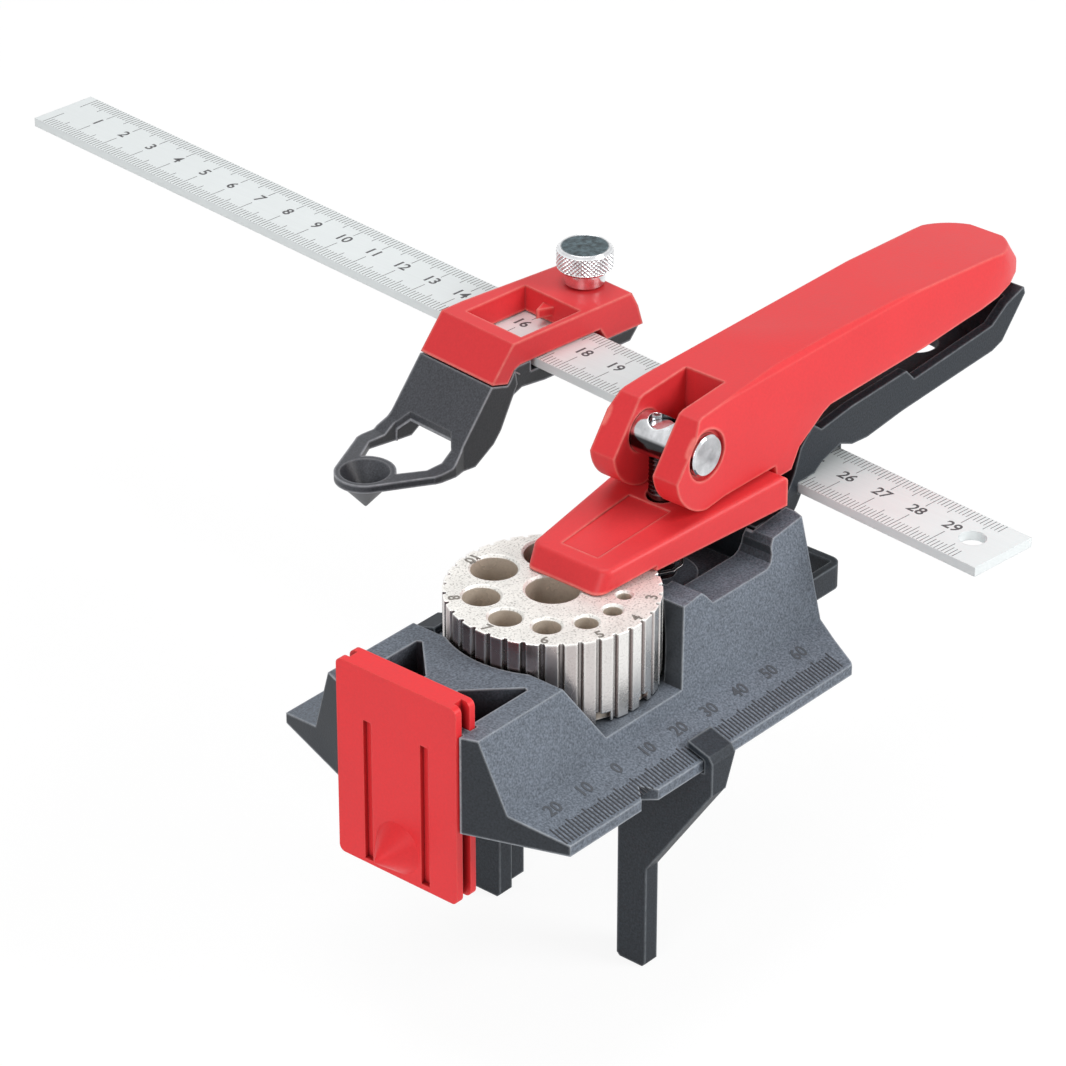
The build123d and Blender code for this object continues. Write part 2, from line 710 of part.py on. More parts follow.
with BuildPart() as fence:
    with BuildSketch(Plane.YZ.offset(fence_front_x)):
        Polygon(
            *mirrored_across([
                (leg_inner_y, crossbar_bottom_z),
                (leg_inner_y, leg_bottom_z + leg_edge),
                (leg_inner_y + leg_edge, leg_bottom_z),
                (leg_outer_y - leg_edge, leg_bottom_z),
                (leg_outer_y, leg_bottom_z + leg_edge),
                (leg_outer_y, leg_shoulder_z),
                (hook_outer_y, hook_bottom_z),
                (hook_outer_y, edge_height),
                (hook_outer_y - 1.0, above_apron(hook_outer_y - 1.0, pointer_height)),
                (pointer_inner_y, above_apron(pointer_inner_y, pointer_height)),
                (pointer_inner_y, above_apron(pointer_inner_y, sliding_gap)),
                (hook_inner_y, above_apron(hook_inner_y, sliding_gap)),
                (hook_inner_y, -sliding_gap),
            ]),
            align=None,
        )
    extrude(amount=fence_plate)
    for side in (-1, 1):
        # Deeper hook round the apron edge, with the pointer over the scale
        with BuildSketch(Plane.YZ.offset(fence_front_x)):
            Polygon(
                (side * hook_inner_y, hook_bottom_z),
                (side * hook_outer_y, hook_bottom_z),
                (side * hook_outer_y, edge_height),
                (side * (hook_outer_y - 1.0), above_apron(hook_outer_y - 1.0, pointer_height)),
                (side * pointer_inner_y, above_apron(pointer_inner_y, pointer_height)),
                (side * pointer_inner_y, above_apron(pointer_inner_y, sliding_gap)),
                (side * hook_inner_y, above_apron(hook_inner_y, sliding_gap)),
                align=None,
            )
        extrude(amount=hook_depth)
        # The outer wall of the hook narrows downwards
        with BuildSketch(Plane.XZ.offset(side * hook_inner_y)):
            Polygon(
                (fence_front_x + hook_depth, edge_height),
                (fence_front_x + hook_depth + 1, edge_height),
                (fence_front_x + hook_depth + 1, hook_bottom_z - 1),
                (fence_front_x + hook_foot_depth, hook_bottom_z - 1),
                (fence_front_x + hook_foot_depth, hook_bottom_z),
                align=None,
            )
        extrude(amount=side * 4, mode=Mode.SUBTRACT)
        # Stiffening rib down the inner side of each leg
        with BuildSketch(Plane.YZ.offset(fence_front_x)):
            Polygon(
                (side * (leg_inner_y + leg_rib_inset), -sliding_gap),
                (side * (leg_inner_y + leg_rib_inset), leg_bottom_z + leg_rib_end),
                (side * (leg_inner_y + 3.0), leg_bottom_z + leg_rib_end),
                (side * (leg_inner_y + 3.0), -sliding_gap),
                align=None,
            )
        extrude(amount=leg_rib_depth)
        # Riser from the crossbar to the rail
        with BuildSketch(Plane.XY.offset(crossbar_bottom_z)):
            with Locations((fence_front_x + leg_rib_depth / 2, side * (rail_outer_y - rail_wall / 2))):
                Rectangle(leg_rib_depth, rail_wall)
        extrude(amount=rail_top_z - crossbar_bottom_z)
        with BuildSketch(Plane.XY.offset(crossbar_bottom_z)):
            with Locations((fence_front_x + leg_rib_depth / 2, side * (leg_inner_y + rail_outer_y) / 2)):
                Rectangle(leg_rib_depth, leg_inner_y - rail_outer_y + 3)
        extrude(amount=-sliding_gap - crossbar_bottom_z)
    # Loop of two rails that runs in the channel of the body
    with BuildSketch(Plane.XY.offset(rail_bottom_z)):
        with Locations(((fence_front_x + loop_rear_x) / 2, 0)):
            RectangleRounded(loop_rear_x - fence_front_x, 2 * rail_outer_y, 3.0)
            Rectangle(
                loop_rear_x - fence_front_x - 2 * rail_wall,
                2 * (rail_outer_y - rail_wall),
                mode=Mode.SUBTRACT,
            )
        with Locations((fence_front_x + 2, 0)):
            Rectangle(8, 2 * (rail_outer_y - rail_wall), mode=Mode.SUBTRACT)
    extrude(amount=rail_top_z - rail_bottom_z)

with BuildPart() as ruler:
    with BuildSketch(ruler_xy.offset(ruler_top_z - ruler_thickness)):
        with Locations((0, (ruler_near_end + ruler_far_end) / 2)):
            Rectangle(2 * ruler_half_width, ruler_far_end - ruler_near_end)
        with Locations((0, ruler_hole_v)):
            Circle(ruler_hole_radius, mode=Mode.SUBTRACT)
    extrude(amount=ruler_thickness)

slider_plane = ruler_xz.offset(-slider_mid_v)
with BuildPart() as slider_cap:
    with BuildSketch(slider_plane):
        Polygon(
            (-16.3, cap_top_z), (-22.9, 29.2), (-18.2, 27.9), (-16.2, 30.7), (-14.2, cap_floor_z),
            (10.6, cap_floor_z), (12.6, 28.2), (24.0, 28.2), (22.4, 33.4), (20.4, cap_top_z), align=None,
        )
    extrude(amount=20, both=True)
    # Plan of the cap, a little narrower at the screw end
    with BuildSketch(ruler_xy.offset(20)):
        Polygon(
            (-30.0, slider_mid_v - slider_half_width),
            (-10.0, slider_mid_v - slider_half_width),
            (26.0, slider_mid_v - slider_half_width - 0.7),
            (26.0, slider_mid_v + 8.8),
            (-10.0, slider_mid_v + slider_half_width),
            (-30.0, slider_mid_v + slider_half_width),
            align=None,
        )
    extrude(amount=30, mode=Mode.INTERSECT)
    # Reading window with walls that slope down to the ruler
    with BuildSketch(ruler_xy.offset(cap_top_z)):
        with Locations((-3.4, slider_mid_v - 1.4)):
            Rectangle(18.6, 17.8)
    extrude(amount=cap_floor_z - cap_top_z - 0.1, taper=8, mode=Mode.SUBTRACT)
    with BuildSketch(ruler_xy.offset(20)):
        with Locations((thumb_u, thumb_v)):
            Circle(thumb_radius + running_clearance)
    extrude(amount=30, mode=Mode.SUBTRACT)
    # Pointer on the side of the window
    with BuildSketch(ruler_xy.offset(cap_floor_z + 1.6)):
        Polygon((1.6, thumb_v + 0.8), (6.2, thumb_v - 1.2), (6.2, thumb_v + 2.8), align=None)
    extrude(amount=2.2)

with BuildPart() as slider_bracket:
    # Sloping front and level arms, seen from the side
    with BuildSketch(slider_plane):
        Polygon(
            (-23.0, 28.8), (-18.1, 27.4), (-15.8, 30.3), (-15.2, 26.8), (-20.3, 17.0), (-22.6, 14.3),
            (-28.4, 10.7), (-42.0, arm_top_z - arm_thickness), (-60.0, arm_top_z - arm_thickness),
            (-60.0, arm_top_z), (-36.4, arm_top_z), (-33.0, 16.2), align=None,
        )
    extrude(amount=arm_half_width, both=True)
    # Hollow behind the sloping front
    with BuildSketch(slider_plane):
        Polygon(
            (-19.6, 29.6), (-33.0, 13.9), (-33.0, 0.0), (-8.0, 0.0), (-12.0, 24.0), align=None,
        )
    extrude(amount=slider_half_width - 2.6, both=True, mode=Mode.SUBTRACT)
    # Plan of the arms: they spread a little, then run into the ring at a tangent
    shoulder_v = arm_half_width - 1.0
    tangent = atan2(shoulder_v, arm_shoulder) + acos(funnel_radius / hypot(arm_shoulder, shoulder_v))
    tangent_u = funnel_u + funnel_radius * cos(tangent)
    tangent_v = funnel_radius * sin(tangent)
    with BuildSketch(ruler_xy.offset(4)):
        for side in (-1, 1):
            Polygon(
                (-20.0, slider_mid_v + side * slider_half_width),
                (-32.0, slider_mid_v + side * (slider_half_width + 0.1)),
                (-35.5, slider_mid_v + side * (arm_half_width - 0.2)),
                (-40.0, slider_mid_v + side * arm_half_width),
                (-41.8, slider_mid_v + side * (arm_half_width - 0.3)),
                (funnel_u + arm_shoulder, slider_mid_v + side * shoulder_v),
                (tangent_u, slider_mid_v + side * tangent_v),
                (-70.0, slider_mid_v + side * tangent_v),
                (-70.0, slider_mid_v + side * 18.0),
                (-5.0, slider_mid_v + side * 18.0),
                (-5.0, slider_mid_v + side * slider_half_width),
                align=None,
            )
        with Locations((tangent_u - 15.0, slider_mid_v)):
            Rectangle(30.0, 30.0)
        # Opening between the arms
        Polygon(
            (funnel_u, slider_mid_v - 3.4),
            (-41.0, slider_mid_v - 9.4),
            (-33.4, slider_mid_v - 9.2),
            (-31.0, slider_mid_v - 6.6),
            (-31.0, slider_mid_v + 6.6),
            (-33.4, slider_mid_v + 9.2),
            (-41.0, slider_mid_v + 9.4),
            (funnel_u, slider_mid_v + 3.4),
            align=None,
        )
    extrude(amount=26, mode=Mode.SUBTRACT)
    # Ring with its funnel
    with BuildSketch(ruler_xy.offset(arm_top_z)):
        with Locations((funnel_u, slider_mid_v)):
            Circle(funnel_radius)
    extrude(amount=-arm_thickness)
    with BuildSketch(ruler_xy.offset(arm_top_z - arm_thickness)):
        with Locations((funnel_u, slider_mid_v)):
            Circle(funnel_root_radius)
    funnel_length = arm_top_z - arm_thickness - funnel_tip_z
    root_taper = degrees(atan2(funnel_root_radius - funnel_point_radius, funnel_length))
    extrude(amount=-funnel_length, taper=root_taper)
    with BuildSketch(ruler_xy.offset(arm_top_z)):
        with Locations((funnel_u, slider_mid_v)):
            Circle(funnel_mouth_radius)
    mouth_taper = degrees(atan2(funnel_mouth_radius - 1.0, funnel_mouth_depth))
    extrude(amount=-funnel_mouth_depth, taper=mouth_taper, mode=Mode.SUBTRACT)
    # Jaw under the ruler, with the guide along its left edge
    with BuildSketch(slider_plane):
        Polygon(
            (-16.6, 30.0), (-15.0, 31.1), (-10.8, 31.1), (-10.8, jaw_top_z), (12.3, jaw_top_z),
            (12.8, 27.8), (23.6, 27.8), (20.8, 24.6), (-6.3, 24.6), (-13.6, 25.4), (-17.0, 24.0), align=None,
        )
    extrude(amount=slider_half_width - 0.2, both=True)
    with BuildSketch(ruler_xy.offset(screw_nut_bottom_z - 0.1)):
        with Locations((thumb_u, thumb_v)):
            RegularPolygon(screw_nut_flats / 2 + 0.2, 6, major_radius=False)
    extrude(amount=5, mode=Mode.SUBTRACT)
    with BuildSketch(ruler_xy.offset(20)):
        with Locations((thumb_u, thumb_v)):
            Circle(thumb_radius + running_clearance)
    extrude(amount=10, mode=Mode.SUBTRACT)

with BuildPart() as screw_nut:
    with BuildSketch(ruler_xy.offset(screw_nut_bottom_z)):
        with Locations((thumb_u, thumb_v)):
            RegularPolygon(screw_nut_flats / 2, 6, major_radius=False)
            Circle(thumb_radius + running_clearance, mode=Mode.SUBTRACT)
    extrude(amount=screw_nut_height)

with BuildPart() as thumb_screw:
    with BuildSketch(ruler_xy.offset(screw_nut_bottom_z - 0.4)):
        with Locations((thumb_u, thumb_v)):
            Circle(thumb_radius)
    extrude(amount=cap_top_z + seat_gap - screw_nut_bottom_z + 0.4)
    with BuildSketch(ruler_xy.offset(cap_top_z + seat_gap)):
        with Locations((thumb_u, thumb_v)):
            Circle(thumb_neck_radius)
    extrude(amount=thumb_head_z - cap_top_z - seat_gap)
    with BuildSketch(ruler_xy.offset(thumb_head_z)):
        with Locations((thumb_u, thumb_v)):
            Circle(thumb_head_radius)
    extrude(amount=thumb_top_z - thumb_head_z)
    chamfer(thumb_screw.edges().filter_by(GeomType.CIRCLE).group_by(Axis.Z)[-1], 0.6)

for named, node in (
    (body, "body"),
    (drum, "drum"),
    (detent_pin, "detent_pin"),
    (detent_spring, "detent_spring"),
    (clamp_plate, "clamp_plate"),
    (clamp_stud, "clamp_stud"),
    (stud_nut, "stud_nut"),
    (stud_washer, "stud_washer"),
    (barrel_nut, "barrel_nut"),
    (clamp_spring, "clamp_spring"),
    (clamp_lever, "clamp_lever"),
    (lower_grip, "lower_grip"),
    (grip_screws, "grip_screws"),
    (end_plate, "end_plate"),
    (fence, "fence"),
    (ruler, "ruler"),
    (slider_cap, "slider_cap"),
    (slider_bracket, "slider_bracket"),
    (screw_nut, "screw_nut"),
    (thumb_screw, "thumb_screw"),
):
    named.part.label = node
    export_step(named.part, f"parts/{node}.step")
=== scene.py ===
"""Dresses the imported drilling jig: finishes, scales, lettering, knurl, thread, camera and light.

Lengths are in metres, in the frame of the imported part: X runs towards the handle, Y across the
jig and Z up out of the work face. Outlines of turned and lofted shapes are in millimetres.
"""

import logging
import math
from collections.abc import Iterator
from contextlib import contextmanager
from dataclasses import dataclass
from enum import Enum
from typing import Any, ClassVar, NamedTuple, Optional, Union

import bmesh
import bpy
from mathutils import Matrix, Vector


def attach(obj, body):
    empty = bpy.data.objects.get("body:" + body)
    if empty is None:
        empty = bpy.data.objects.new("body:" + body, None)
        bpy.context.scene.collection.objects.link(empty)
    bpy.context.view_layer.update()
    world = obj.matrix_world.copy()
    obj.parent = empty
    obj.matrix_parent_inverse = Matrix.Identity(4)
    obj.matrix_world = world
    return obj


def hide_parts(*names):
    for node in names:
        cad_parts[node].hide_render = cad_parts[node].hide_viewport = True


Mesh = bpy.types.Mesh
Material = bpy.types.Material
Tone = tuple[float, float, float]
Direction = tuple[float, float, float]
Pair = tuple[float, float]
Profile = tuple[Pair, ...]
Key = Union[str, int]
Number = Union[int, float]

MM = 0.001
RULER_TURN = math.radians(5.1)
RULER_CENTRE_X = 91.5 * MM
ALONG = Vector((math.sin(RULER_TURN), math.cos(RULER_TURN), 0.0))
ACROSS = Vector((math.cos(RULER_TURN), -math.sin(RULER_TURN), 0.0))
UP = Vector((0.0, 0.0, 1.0))
MACHINED_CREASE = 35.0
MOULDED_CREASE = 24.0
KNURL_CREASE = 20.0
CARVING_WELD = 1e-6

log = logging.getLogger("drilling_jig")
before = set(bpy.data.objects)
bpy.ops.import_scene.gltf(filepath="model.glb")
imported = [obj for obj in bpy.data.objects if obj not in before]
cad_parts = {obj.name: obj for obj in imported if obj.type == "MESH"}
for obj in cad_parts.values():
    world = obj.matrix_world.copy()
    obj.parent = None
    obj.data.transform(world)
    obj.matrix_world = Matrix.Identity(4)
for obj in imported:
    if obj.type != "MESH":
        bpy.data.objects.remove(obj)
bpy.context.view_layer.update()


class Rider(Enum):
    """The moving bodies of the jig that new pieces ride on."""

    JIG = "jig_body"
    DRUM = "drum"
    LEVER = "clamp_lever"
    PLATE = "clamp_plate"
    RULER = "ruler"
    THUMB_SCREW = "thumb_screw"


class Slot(Enum):
    """Material slots of the record."""

    GREY = "grey_plastic"
    BLACK = "black_plastic"
    RED = "red_plastic"
    SINTERED = "sintered_steel"
    PLATED = "plated_steel"
    RULER = "ruler_aluminium"


class Value:
    """Output socket of a node, which can be used in sums and products."""

    def __init__(self, graph: "Graph", socket: bpy.types.NodeSocket) -> None:
        """Keep the socket and the graph that it belongs to."""
        self.graph = graph
        self.socket = socket

    def _maths(self, operation: str, first: Any, second: Any) -> "Value":
        """Add a Math node on two values or numbers."""
        return self.graph.node("ShaderNodeMath", {"operation": operation}, {0: first, 1: second})

    def __add__(self, other: Any) -> "Value":
        """Sum of two values."""
        return self._maths("ADD", self, other)

    def __sub__(self, other: Any) -> "Value":
        """Difference of two values."""
        return self._maths("SUBTRACT", self, other)

    def __rsub__(self, other: Any) -> "Value":
        """A number less a value."""
        return self._maths("SUBTRACT", other, self)

    def __mul__(self, other: Any) -> "Value":
        """Product of two values."""
        return self._maths("MULTIPLY", self, other)

    def __mod__(self, other: Any) -> "Value":
        """Remainder, always positive."""
        return self._maths("FLOORED_MODULO", self, other)

    def over(self, limit: float) -> "Value":
        """One where the value is above the limit, else nought."""
        return self._maths("GREATER_THAN", self, limit)

    def under(self, limit: float) -> "Value":
        """One where the value is below the limit, else nought."""
        return self._maths("LESS_THAN", self, limit)

    def called(self, operation: str) -> "Value":
        """Result of a Math node that takes one value, such as SINE."""
        return self.graph.node("ShaderNodeMath", {"operation": operation}, {0: self})

    def larger(self, other: Any) -> "Value":
        """The larger of two values."""
        return self._maths("MAXIMUM", self, other)

    def clamped(self) -> "Value":
        """The value kept between nought and one."""
        return self.graph.node("ShaderNodeClamp", {}, {"Value": self})

    def swing(self, gain: float) -> "Value":
        """How far the value lies from a half, times a gain."""
        return (self - 0.5) * gain

    def out(self, name: Key) -> "Value":
        """Another output of the same node."""
        return Value(self.graph, self.socket.node.outputs[name])


class Graph:
    """A node tree with one method that makes any node."""

    def __init__(self, tree: bpy.types.NodeTree) -> None:
        """Keep the tree."""
        self.tree = tree

    def node(
        self, kind: str, settings: Optional[dict[str, Any]] = None,
        sockets: Optional[dict[Key, Any]] = None, output: Key = 0,
    ) -> Value:
        """Make a node, set it up and link it.

        Args:
            kind: Blender's name of the node's type.
            settings: Properties of the node, set before its inputs.
            sockets: Links, numbers or opaque colours by the input's index, identifier or name.
            output: Output that is handed back.

        Returns:
            The chosen output.
        """
        made = self.tree.nodes.new(kind)
        for name, value in (settings or {}).items():
            setattr(made, name, value)
        for key, value in (sockets or {}).items():
            socket = self._find(made.inputs, key)
            if isinstance(value, Value):
                self.tree.links.new(value.socket, socket)
            elif socket.type == "RGBA":
                socket.default_value = (*value, 1.0)
            else:
                socket.default_value = value
        if not made.outputs:
            return Value(self, made.inputs[0])
        return Value(self, self._find(made.outputs, output))

    @staticmethod
    def _find(sockets: Any, key: Key) -> bpy.types.NodeSocket:
        """Find a socket by its index, its identifier or its name."""
        for socket in sockets:
            if socket.identifier == key:
                return socket
        return sockets[key]


class Surface(Graph):
    """Node tree of a material with one principled shader."""

    BEVEL_SAMPLES: ClassVar[int] = 6
    MASK_SAMPLES: ClassVar[int] = 8
    FLAT_SHARE: ClassVar[float] = 0.96

    def __init__(self, name: str) -> None:
        """Make an empty material."""
        self.material = bpy.data.materials.new(name)
        self.material.use_nodes = True
        self.material.node_tree.nodes.clear()
        super().__init__(self.material.node_tree)
        self.place = self.node("ShaderNodeTexCoord", output="Object")

    def noise(self, size: float, detail: float = 2.0, place: Optional[Value] = None) -> Value:
        """Soft noise whose blotches are about as large as the given size in metres."""
        sockets = {"Vector": place or self.place, "Scale": 1.0 / size, "Detail": detail}
        return self.node("ShaderNodeTexNoise", {}, sockets)

    def mix(self, factor: Any, first: Any, second: Any) -> Value:
        """Blend two colours."""
        sockets = {"Factor_Float": factor, "A_Color": first, "B_Color": second}
        return self.node("ShaderNodeMix", {"data_type": "RGBA"}, sockets, "Result_Color")

    def mottled(self, pattern: Value, tone: Tone, span: Pair) -> Value:
        """A tone times the darkest to the lightest of a span, as a pattern goes from -0.5 to 0.5."""
        return self.mix((pattern + 0.5).clamped(), shaded(tone, span[0]), shaded(tone, span[1]))

    def facing(self, towards: Direction) -> Value:
        """How far the surface faces along a direction, from minus one to one."""
        normal = self.node("ShaderNodeNewGeometry", output="Normal")
        sockets = {0: normal, 1: towards}
        return self.node("ShaderNodeVectorMath", {"operation": "DOT_PRODUCT"}, sockets, "Value")

    def _open_share(self, distance: float, **settings: bool) -> Value:
        """Share of the directions in which nothing stands within a distance."""
        settings = {"samples": self.MASK_SAMPLES, **settings}
        return self.node("ShaderNodeAmbientOcclusion", settings, {"Distance": distance}, "AO")

    def edges(self, radius: float, gain: float) -> Value:
        """Mask for painted edge highlights, one along the outer edges and nought on faces and in corners."""
        return ((self.FLAT_SHARE - self._open_share(radius, only_local=True, inside=True)) * gain).clamped()

    def crevice(self, distance: float, gain: float, spared: float = 0.0, alone: bool = True) -> Value:
        """Mask for painted shade, one deep in narrow grooves and nought in the open.

        Args:
            distance: How far off a wall still darkens.
            gain: How fast the mask grows.
            spared: Share of the sky that may be hidden before it starts.
            alone: Only the piece's own walls darken, not its neighbours'.
        """
        return ((1.0 - spared - self._open_share(distance, only_local=alone)) * gain).clamped()

    def relief(self, height: Value, depth: float, strength: float, radius: float) -> Value:
        """Normal of a relief of a depth, over edges rounded by a radius, both in metres."""
        edged = self.node("ShaderNodeBevel", {"samples": self.BEVEL_SAMPLES}, {"Radius": radius})
        sockets = {"Height": height, "Distance": depth, "Strength": strength, "Normal": edged}
        return self.node("ShaderNodeBump", {}, sockets)

    def finish(self, sockets: dict[str, Any]) -> Material:
        """Close the tree with a principled shader and hand the material back."""
        shader = self.node("ShaderNodeBsdfPrincipled", {}, sockets)
        self.node("ShaderNodeOutputMaterial", {}, {"Surface": shader})
        return self.material


def shaded(tone: Tone, factor: float) -> Tone:
    """A colour made darker or lighter."""
    return (tone[0] * factor, tone[1] * factor, tone[2] * factor)


@dataclass(frozen=True)
class MouldedPlastic:
    """Injection-moulded plastic with a fine spark-eroded texture and eased edges.

    Painted highlights lighten the outer edges in patches. Painted shade darkens hollows, and also faces
    towards shaded_side where side_shade is set. With alone, only the piece's own walls make a hollow.
    """

    name: str
    tone: Tone
    edge_tone: Tone
    roughness: float
    grain_depth: float
    speckle: float
    grain: float = 0.45 * MM
    gloss: float = 0.22
    edge_radius: float = 0.45 * MM
    edge_share: float = 0.9
    shaded_side: Direction = (-1.0, 0.0, 0.0)
    side_shade: float = 0.0
    side_start: float = 0.25
    hollow_reach: float = 14.0 * MM
    hollow_gain: float = 1.9
    hollow_spared: float = 0.37
    alone: bool = False
    cloud: float = 14.0 * MM
    wear_patch: float = 1.7 * MM

    def build(self) -> Material:
        """Make the material."""
        surface = Surface(self.name)
        cloud = surface.noise(self.cloud, 3.0)
        grain = surface.noise(self.grain)
        # Painted highlight along the outer edges, broken into patches.
        highlight_patches = surface.noise(self.wear_patch) + 0.35
        edge_highlight = surface.edges(1.2 * self.edge_radius, 2.2) * highlight_patches * self.edge_share
        pattern = grain.swing(2.6 * self.speckle) + cloud.swing(0.35)
        span = (0.86 - 0.30 * self.speckle, 1.12 + 0.45 * self.speckle)
        base = surface.mottled(pattern, self.tone, span)
        # Painted shade in hollows; unless alone, neighbouring pieces cast it too.
        hollow_shade = surface.crevice(self.hollow_reach, self.hollow_gain, self.hollow_spared, self.alone)
        base = surface.mix(hollow_shade, base, shaded(self.tone, 0.12))
        # Painted shade on the faces towards shaded_side.
        if self.side_shade:
            side = (surface.facing(self.shaded_side) - self.side_start).clamped() * self.side_shade
            base = surface.mix(side.clamped(), base, shaded(self.tone, 0.1))
        return surface.finish({
            "Base Color": surface.mix(edge_highlight.clamped(), base, self.edge_tone),
            "Roughness": (cloud.swing(0.16) + grain.swing(0.18) + self.roughness).clamped(),
            "Specular IOR Level": self.gloss,
            "Normal": surface.relief(grain, self.grain_depth, 0.6, self.edge_radius),
        })


@dataclass(frozen=True)
class SinteredSteel:
    """Tumbled matt steel of the drum: speckled top, bright flutes, warm holes."""

    name: str
    tone: Tone
    fleck: Tone
    rim_tone: Tone = (0.96, 0.95, 0.93)
    reflection: Tone = (0.14, 0.045, 0.045)
    hole_tone: Tone = (0.60, 0.50, 0.40)
    edge_tone: Tone = (0.96, 0.95, 0.92)
    soot_tone: Tone = (0.035, 0.032, 0.030)
    axis_x: float = 15.0 * MM
    rim_radius: float = 21.6 * MM
    grain: float = 0.45 * MM
    cloud: float = 6.0 * MM
    wear_radius: float = 0.6 * MM
    soot_reach: float = 0.9 * MM
    edge_radius: float = 0.3 * MM
    grain_depth: float = 0.05 * MM

    def build(self) -> Material:
        """Make the material."""
        surface = Surface(self.name)
        fine = surface.noise(self.grain, 3.0)
        broad = surface.noise(self.cloud, 3.0)
        top = surface.facing((0.0, 0.0, 1.0)).over(0.7)
        front = (surface.facing((-1.0, 0.0, 0.0)) - 0.1).clamped()
        spot = surface.node("ShaderNodeSeparateXYZ", {}, {0: surface.place})
        offset = spot - self.axis_x
        reach = (offset * offset + spot.out("Y") * spot.out("Y")).called("SQRT")
        wall = (1.0 - top) * reach.under(self.rim_radius)
        rim = (1.0 - top) * reach.over(self.rim_radius)
        pores = (0.47 - fine).over(0.07) * (top * 0.32 + 0.10)
        # Painted highlight along the outer edges.
        edge_highlight = surface.edges(self.wear_radius, 2.4) * 0.95
        # Painted shade in narrow grooves, such as between the flutes.
        groove_shade = surface.crevice(self.soot_reach, 1.7)
        base = surface.mottled(fine.swing(1.5) + broad.swing(0.8), self.tone, (0.84, 1.20))
        base = surface.mix(rim * 0.75, base, self.rim_tone)
        # Painted red reflection of the end plate on the flutes that face -X.
        base = surface.mix(rim * front * 0.85, base, self.reflection)
        base = surface.mix(wall * 0.85, base, self.hole_tone)
        base = surface.mix(pores, base, self.fleck)
        base = surface.mix(edge_highlight, base, self.edge_tone)
        return surface.finish({
            "Base Color": surface.mix(groove_shade, base, self.soot_tone),
            "Metallic": 1.0 - top * 0.55 - wall * 0.8,
            "Roughness": (top * 0.22 + 0.27 + broad.swing(0.2)).clamped(),
            "Normal": surface.relief(fine, self.grain_depth, 0.45, self.edge_radius),
        })


@dataclass(frozen=True)
class PlatedSteel:
    """Bright zinc or chrome plate with faint handling marks.

    Edges are lightened with painted highlights and grooves darkened with painted shade. A dark band can
    run round a bar that lies along Y, as a painted reflection of a dark room, and below a set height the
    plate can be darkened with painted shade, tinted red.
    """

    name: str
    tone: Tone
    roughness: float
    edge_tone: Tone = (0.92, 0.93, 0.94)
    band_tone: Tone = (0.012, 0.012, 0.014)
    oil_tone: Tone = (0.06, 0.012, 0.012)
    soot_tone: Tone = (0.030, 0.030, 0.034)
    edge_radius: float = 0.2 * MM
    dark_band: float = 0.0
    soot_gain: float = 2.2
    soot_reach: float = 0.9 * MM
    oiled_below: float = 0.0
    oil_cover: float = 0.93
    haze_size: float = 2.5 * MM
    haze_span: Pair = (0.72, 1.15)
    mark_size: float = 0.3 * MM
    mark_depth: float = 0.02 * MM

    def build(self) -> Material:
        """Make the material."""
        surface = Surface(self.name)
        haze = surface.noise(self.haze_size, 3.0)
        marks = surface.noise(self.mark_size, 4.0)
        # Painted highlight along the outer edges.
        edge_highlight = surface.edges(2.0 * self.edge_radius, 2.0) * 0.6
        # Painted shade in narrow grooves, such as the knurl and the thread.
        groove_shade = surface.crevice(self.soot_reach, self.soot_gain)
        base = surface.mottled(haze.swing(2.2), self.tone, self.haze_span)
        base = surface.mix(edge_highlight, base, self.edge_tone)
        # Painted reflection of a dark room: a dark band round a bar that lies along Y.
        if self.dark_band:
            rise = (surface.facing((0.0, 0.0, 1.0)) + 0.05).called("ABSOLUTE")
            end = surface.facing((0.0, 1.0, 0.0)).called("ABSOLUTE")
            band = ((0.42 - rise) * 6.0).clamped() * end.under(0.7)
            base = surface.mix(band * self.dark_band, base, self.band_tone)
        # Painted shade, tinted red, below a set height.
        if self.oiled_below:
            height = surface.node("ShaderNodeSeparateXYZ", {}, {0: surface.place}, "Z")
            base = surface.mix(height.under(self.oiled_below) * self.oil_cover, base, self.oil_tone)
        return surface.finish({
            "Base Color": surface.mix(groove_shade, base, self.soot_tone),
            "Metallic": 1.0,
            "Roughness": (haze.swing(0.22) + self.roughness).clamped(),
            "Normal": surface.relief(marks, self.mark_depth, 0.25, self.edge_radius),
        })


@dataclass(frozen=True)
class BrushedAluminium:
    """Satin ruler aluminium, brushed along its length."""

    name: str
    tone: Tone
    metallic: float = 0.12
    roughness: float = 0.38
    stroke: float = 0.35 * MM
    stroke_stretch: Direction = (1.0, 0.02, 1.0)
    stroke_depth: float = 0.02 * MM
    cloud: float = 20.0 * MM
    edge_radius: float = 0.25 * MM

    def build(self) -> Material:
        """Make the material."""
        surface = Surface(self.name)
        sockets = {
            "Vector": surface.place, "Rotation": (0.0, 0.0, RULER_TURN), "Scale": self.stroke_stretch,
        }
        stretched = surface.node("ShaderNodeMapping", {"vector_type": "POINT"}, sockets)
        strokes = surface.noise(self.stroke, 3.0, stretched)
        cloud = surface.noise(self.cloud)
        return surface.finish({
            "Base Color": surface.mottled(strokes.swing(0.7) + cloud.swing(0.5), self.tone, (0.93, 1.05)),
            "Metallic": self.metallic,
            "Roughness": (strokes.swing(0.2) + self.roughness).clamped(),
            "Normal": surface.relief(strokes, self.stroke_depth, 0.2, self.edge_radius),
        })


@dataclass(frozen=True)
class Ink:
    """Printed marks, or painted shade on pressed marks, with slightly uneven cover."""

    name: str
    tone: Tone
    thin_tone: Tone
    roughness: float = 0.55
    patch: float = 0.5 * MM

    def build(self) -> Material:
        """Make the material."""
        surface = Surface(self.name)
        cover = surface.noise(self.patch)
        return surface.finish({
            "Base Color": surface.mix((cover.swing(1.6) + 0.3).clamped(), self.tone, self.thin_tone),
            "Roughness": (cover.swing(0.2) + self.roughness).clamped(),
        })


